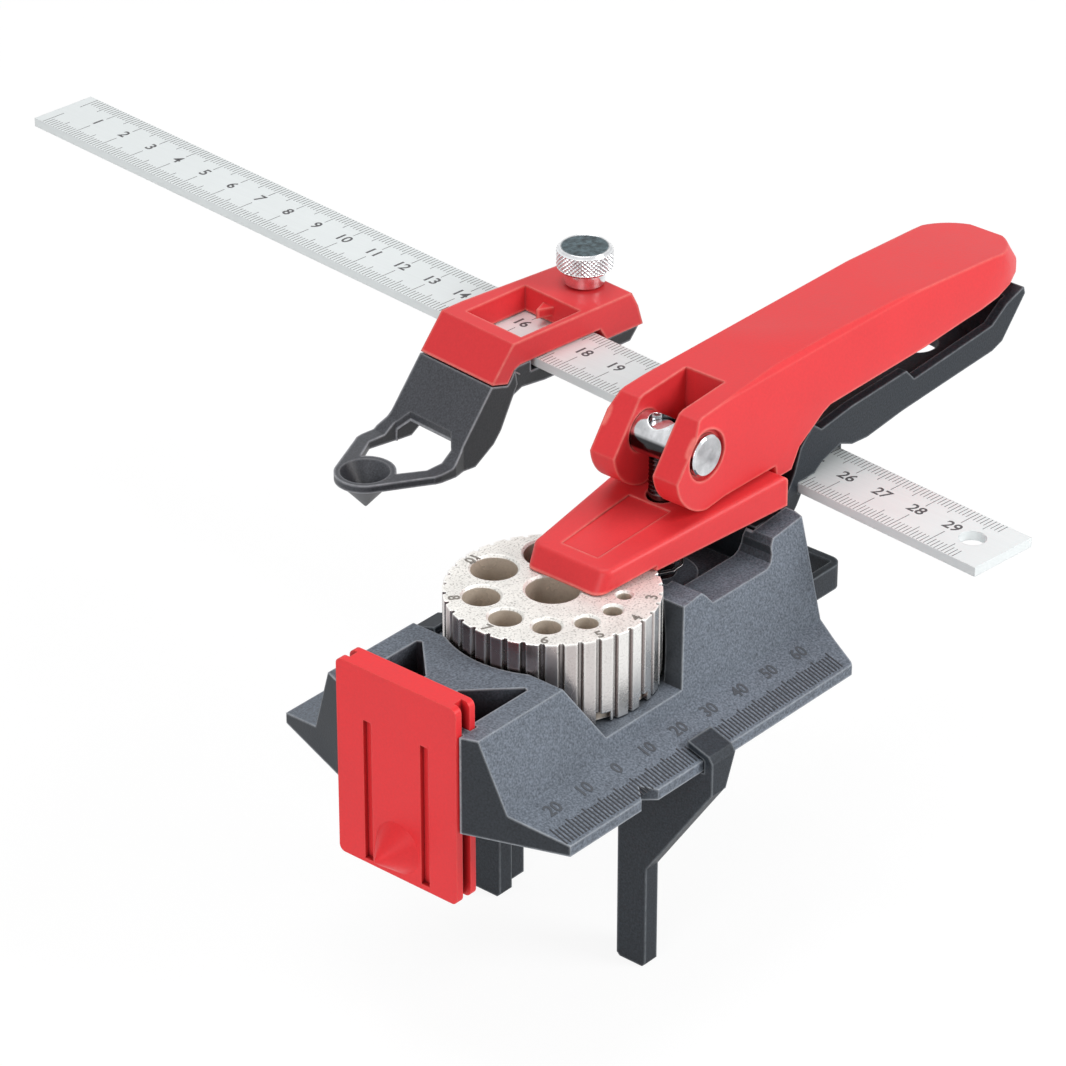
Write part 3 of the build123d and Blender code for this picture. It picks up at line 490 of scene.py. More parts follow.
class Palette:
    """All finishes of the jig, built once."""

    def __init__(self) -> None:
        """Mix every finish."""
        smooth_red = {
            "roughness": 0.42, "grain": 0.60 * MM, "grain_depth": 0.03 * MM, "speckle": 0.16,
            "gloss": 0.30, "alone": True,
        }
        bright = (0.62, 0.63, 0.65)
        self.grey = MouldedPlastic(
            "grey_moulding", (0.126, 0.146, 0.176), (0.46, 0.49, 0.53),
            roughness=0.55, grain_depth=0.10 * MM, speckle=0.9, side_shade=1.25,
        ).build()
        self.black = MouldedPlastic(
            "black_moulding", (0.022, 0.027, 0.034), (0.20, 0.22, 0.24),
            roughness=0.50, grain_depth=0.08 * MM, speckle=0.9,
        ).build()
        # Lighter than the black moulding to stand in for light on its sloping face, with painted shade on
        # the faces towards -Y.
        self.satin_black = MouldedPlastic(
            "satin_black_moulding", (0.050, 0.053, 0.062), (0.42, 0.43, 0.46),
            roughness=0.40, grain_depth=0.06 * MM, speckle=0.8, gloss=0.34, edge_radius=0.5 * MM,
            edge_share=1.0, shaded_side=(0.2, -1.0, 0.0), side_shade=0.9,
        ).build()
        self.red = MouldedPlastic(
            "red_moulding", (0.72, 0.038, 0.044), (0.94, 0.26, 0.22),
            edge_radius=0.6 * MM, edge_share=0.75, hollow_reach=7.0 * MM, **smooth_red,
        ).build()
        # A lighter copy of the red moulding: painted light on the end plate.
        self.plain_red = MouldedPlastic(
            "plain_red_moulding", (0.79, 0.030, 0.036), (0.88, 0.12, 0.10),
            edge_radius=0.25 * MM, edge_share=0.45, hollow_reach=4.0 * MM, **smooth_red,
        ).build()
        self.sintered = SinteredSteel("tumbled_steel", (0.75, 0.735, 0.70), (0.20, 0.18, 0.16)).build()
        self.plated = PlatedSteel("bright_plate", bright, roughness=0.18).build()
        # Dark, strongly mottled plate for the face of the thumb screw.
        self.worn_plate = PlatedSteel(
            "worn_plate", (0.075, 0.11, 0.125), 0.26, haze_size=1.3 * MM, haze_span=(0.25, 1.6)
        ).build()
        self.knurl_plate = PlatedSteel("knurl_plate", (0.80, 0.81, 0.83), 0.16, soot_gain=0.8).build()
        # Bright plate with painted shade, tinted red, below 46.5 mm on the stud.
        self.oiled_plate = PlatedSteel("oiled_plate", bright, roughness=0.2, oiled_below=46.5 * MM).build()
        self.polished_plate = PlatedSteel("polished_plate", (0.66, 0.67, 0.69), 0.12, dark_band=0.95).build()
        # Near black: painted shade on the spring, nut and washer under the plate.
        self.dark_steel = PlatedSteel("dark_steel", (0.030, 0.030, 0.033), roughness=0.40).build()
        self.aluminium = BrushedAluminium("ruler_metal", (0.78, 0.82, 0.825)).build()
        self.ruler_ink = Ink("ruler_ink", (0.035, 0.035, 0.038), (0.16, 0.16, 0.17)).build()
        # Darker than the surface they stand on: painted shade on raised marks, figures and drum sizes.
        self.scale_relief = Ink("scale_relief", (0.016, 0.017, 0.021), (0.034, 0.037, 0.045)).build()
        self.figure_relief = Ink("figure_relief", (0.045, 0.051, 0.062), (0.075, 0.085, 0.10)).build()
        self.drum_relief = Ink("drum_relief", (0.15, 0.135, 0.12), (0.30, 0.28, 0.25)).build()


def linked(name: str, data: bpy.types.ID) -> bpy.types.Object:
    """Make an object at the origin and link it to the scene."""
    made = bpy.data.objects.new(name, data)
    bpy.context.scene.collection.objects.link(made)
    return made


def applied(carrier: bpy.types.Object) -> Mesh:
    """Plain mesh of an object with its modifiers worked in."""
    bpy.context.view_layer.update()
    evaluated = carrier.evaluated_get(bpy.context.evaluated_depsgraph_get())
    return bpy.data.meshes.new_from_object(evaluated)


def discard(*spent: bpy.types.Object) -> None:
    """Delete helper objects and their meshes."""
    for item in spent:
        mesh = item.data
        bpy.data.objects.remove(item)
        bpy.data.meshes.remove(mesh)


@contextmanager
def editing(mesh: Mesh) -> Iterator[bmesh.types.BMesh]:
    """Open a mesh for editing, and write it back at the end."""
    work = bmesh.new()
    try:
        work.from_mesh(mesh)
        yield work
        work.to_mesh(mesh)
    finally:
        work.free()


def placed(mesh: Mesh, origin: Vector, across: Vector, inward: Vector) -> Mesh:
    """Move a mesh from its own flat layout to its place on the jig.

    Args:
        mesh: Mesh laid out in its own X and Y.
        origin: Where its origin goes.
        across: Direction that its X takes.
        inward: Direction that its Y takes.

    Returns:
        The same mesh.
    """
    up = across.cross(inward).normalized()
    turn = Matrix((across.normalized(), inward.normalized(), up)).transposed().to_4x4()
    mesh.transform(Matrix.Translation(origin) @ turn)
    return mesh


def mount(
    name: str, meshes: list[Mesh], finish: Material, rider: Rider, slot: Slot, *stands_for: str
) -> None:
    """Join meshes into one piece at the origin and hang it on its body.

    Args:
        name: Name of the piece.
        meshes: Meshes that are already in their places. They are used up.
        finish: Material of the whole piece.
        rider: Body that it moves with.
        slot: Slot of the record that it takes its finish from; not used.
        stands_for: CAD nodes that it replaces.
    """
    mesh = bpy.data.meshes.new(name)
    with editing(mesh) as whole:
        for part in meshes:
            whole.from_mesh(part)
            bpy.data.meshes.remove(part)
    mesh.materials.clear()
    mesh.materials.append(finish)
    for face in mesh.polygons:
        face.material_index = 0
    piece = linked(name, mesh)
    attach(piece, rider.value)
    if stands_for:
        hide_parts(*stands_for)
    log.info("%s: %d faces on %s", piece.name, len(mesh.polygons), rider.value)


def dress(finish: Material, *nodes: str) -> None:
    """Give CAD nodes, by their names, a finish."""
    for node in nodes:
        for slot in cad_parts[node].material_slots:
            slot.material = finish
        log.info("%s wears %s", node, finish.name)


def figure(number: int, height: float, depth: float, weight: float) -> Mesh:
    """Mesh of a number, centred on its origin.

    Args:
        number: The number.
        height: Height of its figures.
        depth: How far they stand out, half of it below the surface.
        weight: How much the strokes are thickened, as a share of the height.

    Returns:
        Mesh in the XY plane.
    """
    figure_share_of_font = 0.70
    curve = bpy.data.curves.new("figure", "FONT")
    curve.body = str(number)
    curve.size = height / figure_share_of_font
    curve.extrude = depth / 2
    curve.offset = weight * height
    curve.resolution_u = 3
    text_object = linked("figure", curve)
    bpy.context.view_layer.update()
    mesh = bpy.data.meshes.new_from_object(text_object)
    bpy.data.objects.remove(text_object)
    bpy.data.curves.remove(curve)
    corners = [vertex.co for vertex in mesh.vertices]
    x, y = [(min(c[axis] for c in corners) + max(c[axis] for c in corners)) / 2 for axis in (0, 1)]
    mesh.transform(Matrix.Translation((-x, -y, 0.0)))
    return mesh


class GeometryRule(Graph):
    """Geometry Nodes tree that is run once to make a plain mesh."""

    def __init__(self, name: str, sizes: dict[str, Number]) -> None:
        """Make the tree with a named input for each size, whole numbers for counts, and a finish."""
        tree = bpy.data.node_groups.new(name, "GeometryNodeTree")
        super().__init__(tree)
        self.sizes = sizes
        self.identifiers: dict[str, str] = {}
        for label, default in sizes.items():
            kind = "NodeSocketInt" if isinstance(default, int) else "NodeSocketFloat"
            socket = tree.interface.new_socket(name=label, in_out="INPUT", socket_type=kind)
            socket.default_value = default
            self.identifiers[label] = socket.identifier
        finish = tree.interface.new_socket(name="Finish", in_out="INPUT", socket_type="NodeSocketMaterial")
        self.identifiers["Finish"] = finish.identifier
        tree.interface.new_socket(name="Geometry", in_out="OUTPUT", socket_type="NodeSocketGeometry")
        self.given = self.node("NodeGroupInput")

    def size(self, label: str) -> Value:
        """One of the named inputs."""
        return self.given.out(label)

    def close(self, geometry: Value) -> None:
        """End the tree in real, dressed geometry."""
        real = self.node("GeometryNodeRealizeInstances", {}, {"Geometry": geometry})
        sockets = {"Geometry": real, "Material": self.size("Finish")}
        self.node("NodeGroupOutput", {}, {0: self.node("GeometryNodeSetMaterial", {}, sockets)})

    def run(self, finish: Material, **sizes: Number) -> Mesh:
        """Run the tree and hand back a plain mesh.

        Args:
            finish: Material for the Finish input.
            sizes: Inputs that differ from their defaults.

        Returns:
            The mesh.
        """
        carrier = linked("carrier", bpy.data.meshes.new("carrier"))
        modifier = carrier.modifiers.new("rule", "NODES")
        modifier.node_group = self.tree
        for label, value in {**self.sizes, **sizes}.items():
            modifier[self.identifiers[label]] = value
        modifier[self.identifiers["Finish"]] = finish
        mesh = applied(carrier)
        carrier.modifiers.remove(modifier)
        discard(carrier)
        return mesh


class TickRow(GeometryRule):
    """A row of scale marks along X that reach inwards along Y."""

    def __init__(self) -> None:
        """Build the tree."""
        super().__init__("tick_row", {
            "Count": 91, "Pitch": 1.0 * MM, "First": 0.0, "Step": 1.0, "Short": 3.0 * MM,
            "Middle": 4.0 * MM, "Long": 5.0 * MM, "Width": 0.2 * MM, "Height": 0.1 * MM,
        })
        offset = self.node("ShaderNodeCombineXYZ", {}, {"X": self.size("Pitch")})
        sockets = {"Count": self.size("Count"), "Offset": offset}
        row = self.node("GeometryNodeMeshLine", {"mode": "OFFSET"}, sockets)
        reading = self.node("GeometryNodeInputIndex") * self.size("Step") + self.size("First") + 0.5
        is_long = (reading % 10.0).under(1.0)
        is_five = (reading % 5.0).under(1.0) * (1.0 - is_long)
        length = (
            self.size("Short")
            + (self.size("Long") - self.size("Short")) * is_long
            + (self.size("Middle") - self.size("Short")) * is_five
        )
        cube = self.node("GeometryNodeMeshCube", {}, {"Size": (1.0, 1.0, 1.0)})
        mark = self.node("GeometryNodeTransform", {}, {"Geometry": cube, "Translation": (0.0, 0.5, 0.0)})
        sizes = {"X": self.size("Width"), "Y": length, "Z": self.size("Height")}
        scale = self.node("ShaderNodeCombineXYZ", {}, sizes)
        sockets = {"Points": row, "Instance": mark, "Scale": scale}
        self.close(self.node("GeometryNodeInstanceOnPoints", {}, sockets))


class RoundSkin(GeometryRule):
    """A round band whose radius follows a rule: a screw thread or a crossed knurl."""

    WELD: ClassVar[float] = 0.5e-6

    def __init__(self, name: str, knurled: bool) -> None:
        """Build the tree of a crossed knurl, or else of a screw thread."""
        super().__init__(name, {
            "Around": 96, "Up": 40, "Radius": 3.0 * MM, "Depth": 0.4 * MM, "Bottom": 0.0,
            "Height": 10.0 * MM, "Turns": 10.0, "Teeth": 40.0,
        })
        grid = self.node("GeometryNodeMeshGrid", {}, {
            "Size X": 1.0, "Size Y": 1.0,
            "Vertices X": self.size("Around") + 1.0, "Vertices Y": self.size("Up") + 1.0,
        })
        spot = self.node("ShaderNodeSeparateXYZ", {}, {0: self.node("GeometryNodeInputPosition")})
        share = spot + 0.5
        rise = spot.out("Y") + 0.5
        angle = share * math.tau
        twist = rise * self.size("Turns")
        teeth = share * self.size("Teeth")
        waves = (teeth + twist, teeth - twist) if knurled else (twist - share,)
        grooves = [(wave % 1.0 - 0.5).called("ABSOLUTE") for wave in waves]
        radius = self.size("Radius") - self.size("Depth") * (grooves[0].larger(grooves[-1]) * 2.0)
        bent = self.node("ShaderNodeCombineXYZ", {}, {
            "X": radius * angle.called("COSINE"),
            "Y": radius * angle.called("SINE"),
            "Z": self.size("Bottom") + self.size("Height") * rise,
        })
        moved = self.node("GeometryNodeSetPosition", {}, {"Geometry": grid, "Position": bent})
        sockets = {"Geometry": moved, "Distance": self.WELD}
        self.close(self.node("GeometryNodeMergeByDistance", {}, sockets))


def circle(radius: float, steps: int) -> list[Pair]:
    """Points of a circle about the origin, anticlockwise from the X axis."""
    angles = [math.tau * step / steps for step in range(steps)]
    return [(radius * math.cos(angle), radius * math.sin(angle)) for angle in angles]


def turned(profile: Profile, steps: int = 72) -> Mesh:
    """Surface of revolution about Z.

    Args:
        profile: Radius and height of each ring in millimetres, from the bottom to the top.
        steps: Faces round the axis.

    Returns:
        The mesh, closed at an end where the radius is nought.
    """
    mesh = bpy.data.meshes.new("turned")
    with editing(mesh) as solid:
        rings = []
        for radius, height in profile:
            spots = circle(radius * MM, steps) if radius else [(0.0, 0.0)]
            rings.append([solid.verts.new((*spot, height * MM)) for spot in spots])
        for low, high in zip(rings, rings[1:]):
            for step in range(steps):
                pairs = ((low, step), (low, step + 1), (high, step + 1), (high, step))
                corners = [ring[place % len(ring)] for ring, place in pairs]
                solid.faces.new(list(dict.fromkeys(corners)))
    return mesh


def capped(mesh: Mesh) -> Mesh:
    """Close the open ends of a mesh and turn its faces outwards."""
    with editing(mesh) as work:
        open_edges = [edge for edge in work.edges if edge.is_boundary]
        bmesh.ops.holes_fill(work, edges=open_edges, sides=0)
        bmesh.ops.recalc_face_normals(work, faces=work.faces)
    return mesh


def smooth(mesh: Mesh, angle: float) -> Mesh:
    """Shade a mesh smooth except over edges sharper than an angle in degrees."""
    limit = math.radians(angle)
    with editing(mesh) as work:
        for edge in work.edges:
            edge.smooth = len(edge.link_faces) == 2 and edge.calc_face_angle(0.0) < limit
        for face in work.faces:
            face.smooth = True
    return mesh


def lofted(rings: list[list[Direction]]) -> Mesh:
    """Closed solid through rings that have the same number of corners.

    Args:
        rings: Corners of each ring in millimetres, anticlockwise from above, the lowest ring first.

    Returns:
        The mesh.
    """
    mesh = bpy.data.meshes.new("lofted")
    with editing(mesh) as solid:
        corners = [[solid.verts.new((x * MM, y * MM, z * MM)) for x, y, z in ring] for ring in rings]
        solid.faces.new(list(reversed(corners[0])))
        solid.faces.new(corners[-1])
        for low, high in zip(corners, corners[1:]):
            for place in range(len(low)):
                after = (place + 1) % len(low)
                solid.faces.new((low[place], low[after], high[after], high[place]))
    return mesh


def carved(node: str, *steps: tuple[str, Mesh]) -> Mesh:
    """Copy of a CAD node's mesh, worked with closed tool meshes and shaded as a moulding.

    Args:
        node: Name of the CAD node, which stays as it is.
        steps: Boolean operation and tool mesh of each step, in order. The tools are used up.

    Returns:
        The new mesh.
    """
    mesh = bpy.data.meshes.new(node)
    with editing(mesh) as work:
        work.from_mesh(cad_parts[node].data)
        bmesh.ops.remove_doubles(work, verts=work.verts, dist=CARVING_WELD)
    carrier = linked("carrier", mesh)
    tools = [linked("tool", tool_mesh) for _, tool_mesh in steps]
    for (operation, _), tool in zip(steps, tools):
        modifier = carrier.modifiers.new("step", "BOOLEAN")
        modifier.operation = operation
        modifier.solver = "EXACT"
        modifier.object = tool
    result = applied(carrier)
    discard(carrier, *tools)
    return smooth(result, MOULDED_CREASE)


@dataclass(frozen=True)
class Workshop:
    """What the sub-assemblies share: the finishes, and the rules for marks, threads and knurls."""

    palette: Palette
    ticks: TickRow
    thread: RoundSkin
    knurl: RoundSkin


@dataclass
class SubAssembly:
    """Pieces of the jig that are built and dressed together."""

    shop: Workshop

    def build(self) -> None:
        """Make the new pieces and dress the CAD nodes."""
        raise NotImplementedError


@dataclass
class Moulding(SubAssembly):
    """The grey body with a millimetre scale on each apron."""

    edge_y: float = 38.9 * MM
    edge_z: float = 2.5 * MM
    crease_y: float = 26.2 * MM
    crease_z: float = 6.5 * MM
    aprons: tuple[tuple[str, int, int, int], ...] = (("near", -1, -25, -20), ("far", 1, -14, -10))
    last_mark: int = 65
    last_figure: int = 60
    mark_outer_y: float = 38.1 * MM
    short_inner_y: float = 34.1 * MM
    long_inner_y: float = 33.4 * MM
    mark_width: float = 0.36 * MM
    figure_y: float = 30.0 * MM
    figure_height: float = 2.9 * MM
    figure_weight: float = 0.03
    relief: float = 0.16 * MM

    def build(self) -> None:
        """Make both scales and dress the body."""
        for apron in self.aprons:
            self._scale(*apron)
        dress(self.shop.palette.grey, "body")

    def _spot(self, side: int, x: float, reach: float) -> Vector:
        """Point on an apron at a distance from the middle plane."""
        fall = (self.edge_y - reach) / (self.edge_y - self.crease_y)
        return Vector((x, side * reach, self.edge_z + fall * (self.crease_z - self.edge_z)))

    def _scale(self, name: str, side: int, first_mark: int, first_figure: int) -> None:
        """Make the marks and figures of one apron.

        Args:
            name: Name of the apron.
            side: Minus one towards -Y, one towards +Y.
            first_mark: Reading of the lowest mark.
            first_figure: Lowest reading that has a figure.
        """
        palette = self.shop.palette
        run = self.edge_y - self.crease_y
        rise = self.crease_z - self.edge_z
        along = Vector((-side, 0.0, 0.0))
        slope = Vector((0.0, -side * run, rise)).normalized()
        stretch = math.hypot(run, rise) / run
        short = (self.mark_outer_y - self.short_inner_y) * stretch
        long = (self.mark_outer_y - self.long_inner_y) * stretch
        start = first_mark if side < 0 else self.last_mark
        row = self.shop.ticks.run(
            palette.scale_relief, Count=self.last_mark - first_mark + 1, First=float(start),
            Step=-float(side), Short=short, Middle=long, Long=long, Width=self.mark_width,
            Height=self.relief,
        )
        row = placed(row, self._spot(side, start * MM, self.mark_outer_y), along, slope)
        mount(f"{name}_marks", [row], palette.scale_relief, Rider.JIG, Slot.GREY)
        figures = []
        for reading in range(first_figure, self.last_figure + 1, 10):
            digits = figure(abs(reading), self.figure_height, self.relief, self.figure_weight)
            figures.append(placed(digits, self._spot(side, reading * MM, self.figure_y), along, slope))
        mount(f"{name}_figures", figures, palette.figure_relief, Rider.JIG, Slot.GREY)


@dataclass
class IndexDrum(SubAssembly):
    """The steel drum with the size of each guide hole pressed into its face."""

    BEARINGS: ClassVar[dict[int, int]] = {
        7: 0, 6: 36, 5: 68, 4: 96, 3: 121, 9: 170, 12: 221, 10: 275, 8: 321,
    }

    centre_x: float = 15.0 * MM
    top_z: float = 29.6 * MM
    label_radius: float = 20.7 * MM
    label_height: float = 2.5 * MM
    label_weight: float = 0.03
    relief: float = 0.1 * MM

    def build(self) -> None:
        """Make the size marks and dress the drum."""
        centre = Vector((self.centre_x, 0.0, self.top_z))
        labels = []
        for size, bearing in self.BEARINGS.items():
            angle = math.radians(bearing)
            inward = Vector((math.cos(angle), math.sin(angle), 0.0))
            label = figure(size, self.label_height, self.relief, self.label_weight)
            labels.append(placed(label, centre - inward * self.label_radius, inward.cross(UP), inward))
        mount("drum_sizes", labels, self.shop.palette.drum_relief, Rider.DRUM, Slot.SINTERED)
        dress(self.shop.palette.sintered, "drum")


class NoseRing(NamedTuple):
    """Outline of the lever from above at one height, in millimetres."""

    height: float
    end_centre: float
    end_reach: float
    half_width: float


@dataclass
class Clamp(SubAssembly):
    """Red clamp plate and cam lever on a threaded stud, and the grip below the lever."""

    THREAD: ClassVar[dict[str, Number]] = {
        "Around": 48, "Up": 120, "Radius": 3.0 * MM, "Depth": 0.55 * MM, "Bottom": 38.0 * MM,
        "Height": 15.1 * MM, "Turns": 15.1,
    }

    stud_x: float = 50.5 * MM
    shank: Profile = ((0.0, 7.2), (3.0, 7.2), (3.0, 38.0), (2.45, 38.1))
    tip: Profile = ((2.45, 53.0), (2.9, 53.1), (2.4, 53.6), (0.0, 53.6))
    nose_steps: int = 24
    nose_front: float = 20.0
    nose_rings: tuple[NoseRing, ...] = (
        NoseRing(20.0, 151.0, 19.6, 13.9), NoseRing(49.0, 151.0, 19.6, 13.9),
        NoseRing(57.2, 151.6, 13.2, 11.6), NoseRing(64.0, 150.0, 9.0, 11.0),
    )
    plate_start: Pair = (20.2, 34.8)
    plate_slope: float = 0.0673
    filling: Profile = ((24.6, 8.0), (38.9, 9.6))
    filling_span: Pair = (-1.5, 0.0)
    panel: Profile = ((23.6, 4.9), (46.4, 5.6))
    panel_span: Pair = (-0.35, 3.0)
    hole_centre: float = 140.3
    hole_radius: float = 4.4
    hole_steps: int = 48
    hole_span: Pair = (30.0, 39.0)

    def build(self) -> None:
        """Make the stud, the lever with its round end, the panelled plate and the pierced grip."""
        palette = self.shop.palette
        mount("threaded_stud", self._stud(), palette.oiled_plate, Rider.JIG, Slot.PLATED, "clamp_stud")
        nose = lofted([self._nose_outline(ring) for ring in self.nose_rings])
        lever = carved("clamp_lever", ("INTERSECT", nose))
        mount("round_lever", [lever], palette.red, Rider.LEVER, Slot.RED, "clamp_lever")
        filling = self._plate_slab(self.filling, self.filling_span)
        panel = self._plate_slab(self.panel, self.panel_span)
        plate = carved("clamp_plate", ("UNION", filling), ("DIFFERENCE", panel))
        mount("panelled_plate", [plate], palette.red, Rider.PLATE, Slot.RED, "clamp_plate")
        outline = circle(self.hole_radius, self.hole_steps)
        drill = lofted([[(self.hole_centre + x, y, z) for x, y in outline] for z in self.hole_span])
        grip = carved("lower_grip", ("DIFFERENCE", drill))
        mount("pierced_grip", [grip], palette.black, Rider.JIG, Slot.BLACK, "lower_grip")
        dress(palette.polished_plate, "barrel_nut")
        # Near black as painted shade, where they sit under the plate.
        dress(palette.dark_steel, "clamp_spring", "stud_nut", "stud_washer")
        dress(palette.plated, "grip_screws", "detent_pin", "detent_spring")

    def _stud(self) -> list[Mesh]:
        """Thread, shank and tip of the stud, closed and in their places."""
        skin = self.shop.thread.run(self.shop.palette.plated, **self.THREAD)
        meshes = [skin, turned(self.shank), turned(self.tip)]
        for mesh in meshes:
            smooth(capped(mesh), MACHINED_CREASE)
            mesh.transform(Matrix.Translation((self.stud_x, 0.0, 0.0)))
        return meshes

    def _nose_outline(self, ring: NoseRing) -> list[Direction]:
        """Corners of the lever's outline at one height, straight in front and round at its end."""
        angles = [math.pi * (step / self.nose_steps - 0.5) for step in range(self.nose_steps + 1)]
        end = [
            (ring.end_centre + ring.end_reach * math.cos(angle), ring.half_width * math.sin(angle))
            for angle in angles
        ]
        outline = [(self.nose_front, -ring.half_width), *end, (self.nose_front, ring.half_width)]
        return [(x, y, ring.height) for x, y in outline]

    def _plate_slab(self, edges: Profile, span: Pair) -> Mesh:
        """Slab along the sloping top of the clamp plate, closed.

        Args:
            edges: Place and half width of its front edge and of its rear edge.
            span: Its underside and upper side over the top of the plate.
        """
        (front, front_half), (rear, rear_half) = edges
        outline = [(front, -front_half), (rear, -rear_half), (rear, rear_half), (front, front_half)]
        start_x, start_z = self.plate_start
        return lofted([
            [(x, y, start_z + (x - start_x) * self.plate_slope + rise) for x, y in outline] for rise in span
        ])


@dataclass
class Stops(SubAssembly):
    """The sliding end plate in front and the fence below."""

    def build(self) -> None:
        """Dress the stops."""
        dress(self.shop.palette.plain_red, "end_plate")
        dress(self.shop.palette.black, "fence")


@dataclass
class RulerArm(SubAssembly):
    """The aluminium ruler with printed marks along both edges."""

    top_z: float = 31.0 * MM
    mark_edge: float = 8.85 * MM
    zero_v: float = 241.0 * MM
    last_mark: int = 298
    last_figure: int = 29
    short: float = 3.1 * MM
    middle: float = 4.5 * MM
    long_right: float = 5.7 * MM
    long_left: float = 6.8 * MM
    mark_width: float = 0.17 * MM
    figure_height: float = 3.0 * MM
    figure_weight: float = 0.025
    figure_across: float = 0.8 * MM
    figure_lead: float = 0.3
    relief: float = 0.04 * MM

    def _spot(self, across: float, along: float) -> Vector:
        """Point on the top of the ruler."""
        return Vector((RULER_CENTRE_X, 0.0, self.top_z)) + ACROSS * across + ALONG * along

    def build(self) -> None:
        """Make the printed marks and dress the ruler."""
        ink = self.shop.palette.ruler_ink
        printed = {
            "Count": self.last_mark + 1, "Short": self.short, "Middle": self.middle,
            "Width": self.mark_width, "Height": self.relief,
        }
        left = self.shop.ticks.run(ink, Long=self.long_left, **printed)
        printed.update(First=float(self.last_mark), Step=-1.0)
        right = self.shop.ticks.run(ink, Long=self.long_right, **printed)
        meshes = [
            placed(left, self._spot(-self.mark_edge, self.zero_v), -ALONG, ACROSS),
            placed(right, self._spot(self.mark_edge, self.zero_v - self.last_mark * MM), ALONG, -ACROSS),
        ]
        for number in range(1, self.last_figure + 1):
            spot = self._spot(self.figure_across, self.zero_v - (10 * number - self.figure_lead) * MM)
            digits = figure(number, self.figure_height, self.relief, self.figure_weight)
            meshes.append(placed(digits, spot, -ALONG, ACROSS))
        mount("ruler_marks", meshes, ink, Rider.RULER, Slot.RULER)
        dress(self.shop.palette.aluminium, "ruler")


@dataclass
class Slider(SubAssembly):
    """The slider on the ruler: red cap, black bracket with its funnel, and the thumb screw."""

    KNURL: ClassVar[dict[str, Number]] = {
        "Around": 360, "Up": 32, "Radius": 6.6 * MM, "Depth": 0.38 * MM, "Bottom": 41.8 * MM,
        "Height": 4.1 * MM, "Turns": 4.0, "Teeth": 36.0,
    }

    screw_across: float = 16.3 * MM
    screw_along: float = 77.2 * MM
    below_knurl: Profile = (
        (0.0, 24.8), (2.0, 24.8), (2.0, 37.5), (4.4, 37.5), (4.7, 37.8), (4.7, 40.8), (5.1, 41.2),
        (5.9, 41.2), (6.45, 41.8), (6.24, 41.85),
    )
    above_knurl: Profile = (
        (6.24, 45.85), (6.45, 45.9), (5.8, 46.7), (5.7, 46.7), (5.6, 46.6), (0.0, 46.58),
    )
    face: Profile = ((0.0, 45.95), (5.58, 45.95), (5.58, 46.6), (0.0, 46.66))

    def build(self) -> None:
        """Make the knurled thumb screw and dress the slider."""
        palette = self.shop.palette
        band = self.shop.knurl.run(palette.plated, **self.KNURL)
        screw = [smooth(capped(band), KNURL_CREASE)]
        for profile in (self.below_knurl, self.above_knurl):
            screw.append(smooth(capped(turned(profile)), MACHINED_CREASE))
        face = smooth(turned(self.face), MACHINED_CREASE)
        spot = Vector((RULER_CENTRE_X, 0.0, 0.0)) + ACROSS * self.screw_across + ALONG * self.screw_along
        for mesh in (*screw, face):
            mesh.transform(Matrix.Translation(spot))
        mount("screw_face", [face], palette.worn_plate, Rider.THUMB_SCREW, Slot.PLATED)
        mount("knurled_screw", screw, palette.knurl_plate, Rider.THUMB_SCREW, Slot.PLATED, "thumb_screw")
        dress(palette.red, "slider_cap")
        dress(palette.satin_black, "slider_bracket")
        dress(palette.plated, "screw_nut")


class Lamp(NamedTuple):
    """Square soft lamp that faces the jig."""

    name: str
    place: Direction
    side: float
    watts: float


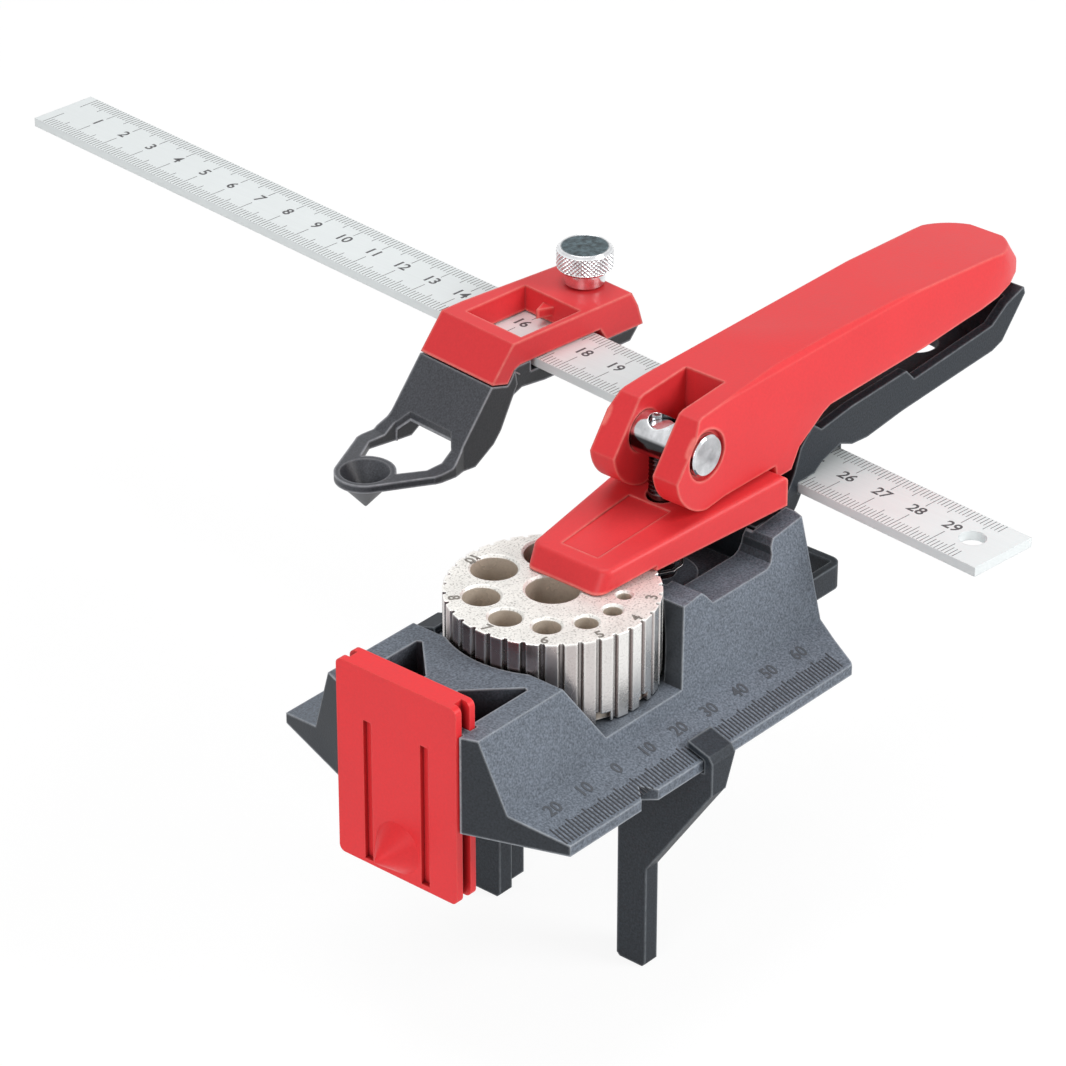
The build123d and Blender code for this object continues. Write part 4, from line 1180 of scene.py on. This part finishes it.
@dataclass
class Studio:
    """Pale floor, white backdrop, soft lamps and the camera that matches the photograph."""

    lamps: tuple[Lamp, ...] = (
        Lamp("key_lamp", (0.55, -1.05, 0.70), 0.6, 11.0),
        Lamp("left_lamp", (-1.0, -0.35, 0.45), 0.6, 4.6),
        Lamp("top_lamp", (0.1, 0.25, 1.2), 0.7, 6.0),
    )
    lamp_target: Direction = (0.06, 0.03, 0.0)
    floor_z: float = -55.5 * MM
    floor_half: float = 6.0
    floor_tone: Tone = (0.93, 0.93, 0.93)
    white: Tone = (1.0, 1.0, 1.0)
    floor_glow: float = 1.04
    glow_share: float = 0.86
    world_level: float = 0.30
    azimuth: float = math.radians(-49.32)
    elevation: float = math.radians(29.75)
    distance: float = 1.1141
    target: Direction = (0.06922, 0.05196, 0.0)
    lens: float = 168.86
    sensor_width: float = 36.0
    clip_end: float = 50.0

    def build(self) -> None:
        """Set the stage."""
        self._floor()
        self._world()
        for lamp in self.lamps:
            self._light(lamp)
        self._camera()
        bpy.context.scene.view_settings.view_transform = "Standard"

    def _seen_plainly(self, graph: Graph) -> Value:
        """One for rays from the camera, from glossy surfaces and through clear ones."""
        path = graph.node("ShaderNodeLightPath", output="Is Camera Ray")
        return path.larger(path.out("Is Glossy Ray")).larger(path.out("Is Transmission Ray"))

    def _floor(self) -> None:
        """Make the floor, which keeps the shadow."""
        mesh = bpy.data.meshes.new("floor")
        corners = ((-1, -1), (1, -1), (1, 1), (-1, 1))
        spots = [(x * self.floor_half, y * self.floor_half, self.floor_z) for x, y in corners]
        mesh.from_pydata(spots, [], [(0, 1, 2, 3)])
        floor = linked("floor", mesh)
        material = bpy.data.materials.new("pale_floor")
        material.use_nodes = True
        material.node_tree.nodes.clear()
        graph = Graph(material.node_tree)
        pale = graph.node("ShaderNodeBsdfDiffuse", {}, {"Color": self.floor_tone})
        sockets = {"Color": self.white, "Strength": self.floor_glow}
        glow = graph.node("ShaderNodeEmission", {}, sockets)
        share = self._seen_plainly(graph) * self.glow_share
        both = graph.node("ShaderNodeMixShader", {}, {0: share, 1: pale, 2: glow})
        graph.node("ShaderNodeOutputMaterial", {}, {"Surface": both})
        mesh.materials.append(material)

    def _world(self) -> None:
        """White world that lights softly."""
        world = bpy.data.worlds.new("studio")
        world.use_nodes = True
        world.node_tree.nodes.clear()
        graph = Graph(world.node_tree)
        strength = self._seen_plainly(graph) * (1.0 - self.world_level) + self.world_level
        sockets = {"Color": self.white, "Strength": strength}
        light = graph.node("ShaderNodeBackground", {}, sockets)
        graph.node("ShaderNodeOutputWorld", {}, {"Surface": light})
        bpy.context.scene.world = world

    def _light(self, lamp: Lamp) -> None:
        """Hang one lamp and turn it to the jig."""
        light = bpy.data.lights.new(lamp.name, "AREA")
        light.shape = "SQUARE"
        light.size = lamp.side
        light.energy = lamp.watts
        hung = linked(lamp.name, light)
        hung.location = lamp.place
        forward = Vector(self.lamp_target) - Vector(lamp.place)
        hung.rotation_euler = forward.to_track_quat("-Z", "Y").to_euler()

    def _camera(self) -> None:
        """Put the camera where the photograph was taken from."""
        data = bpy.data.cameras.new("camera")
        data.lens = self.lens
        data.sensor_width = self.sensor_width
        data.clip_end = self.clip_end
        forward = Vector((
            -math.sin(self.azimuth) * math.cos(self.elevation),
            math.cos(self.azimuth) * math.cos(self.elevation),
            -math.sin(self.elevation),
        ))
        camera = linked("camera", data)
        camera.location = Vector(self.target) - forward * self.distance
        camera.rotation_euler = forward.to_track_quat("-Z", "Y").to_euler()
        bpy.context.scene.camera = camera


def main() -> None:
    """Build and dress every sub-assembly in order."""
    logging.basicConfig(level=logging.INFO, format="%(name)s: %(message)s")
    shop = Workshop(
        Palette(), TickRow(), thread=RoundSkin("screw_thread", knurled=False),
        knurl=RoundSkin("crossed_knurl", knurled=True),
    )
    for kind in (Moulding, IndexDrum, Clamp, Stops, RulerArm, Slider):
        kind(shop).build()
    Studio().build()


if __name__ == "__main__":
    main()
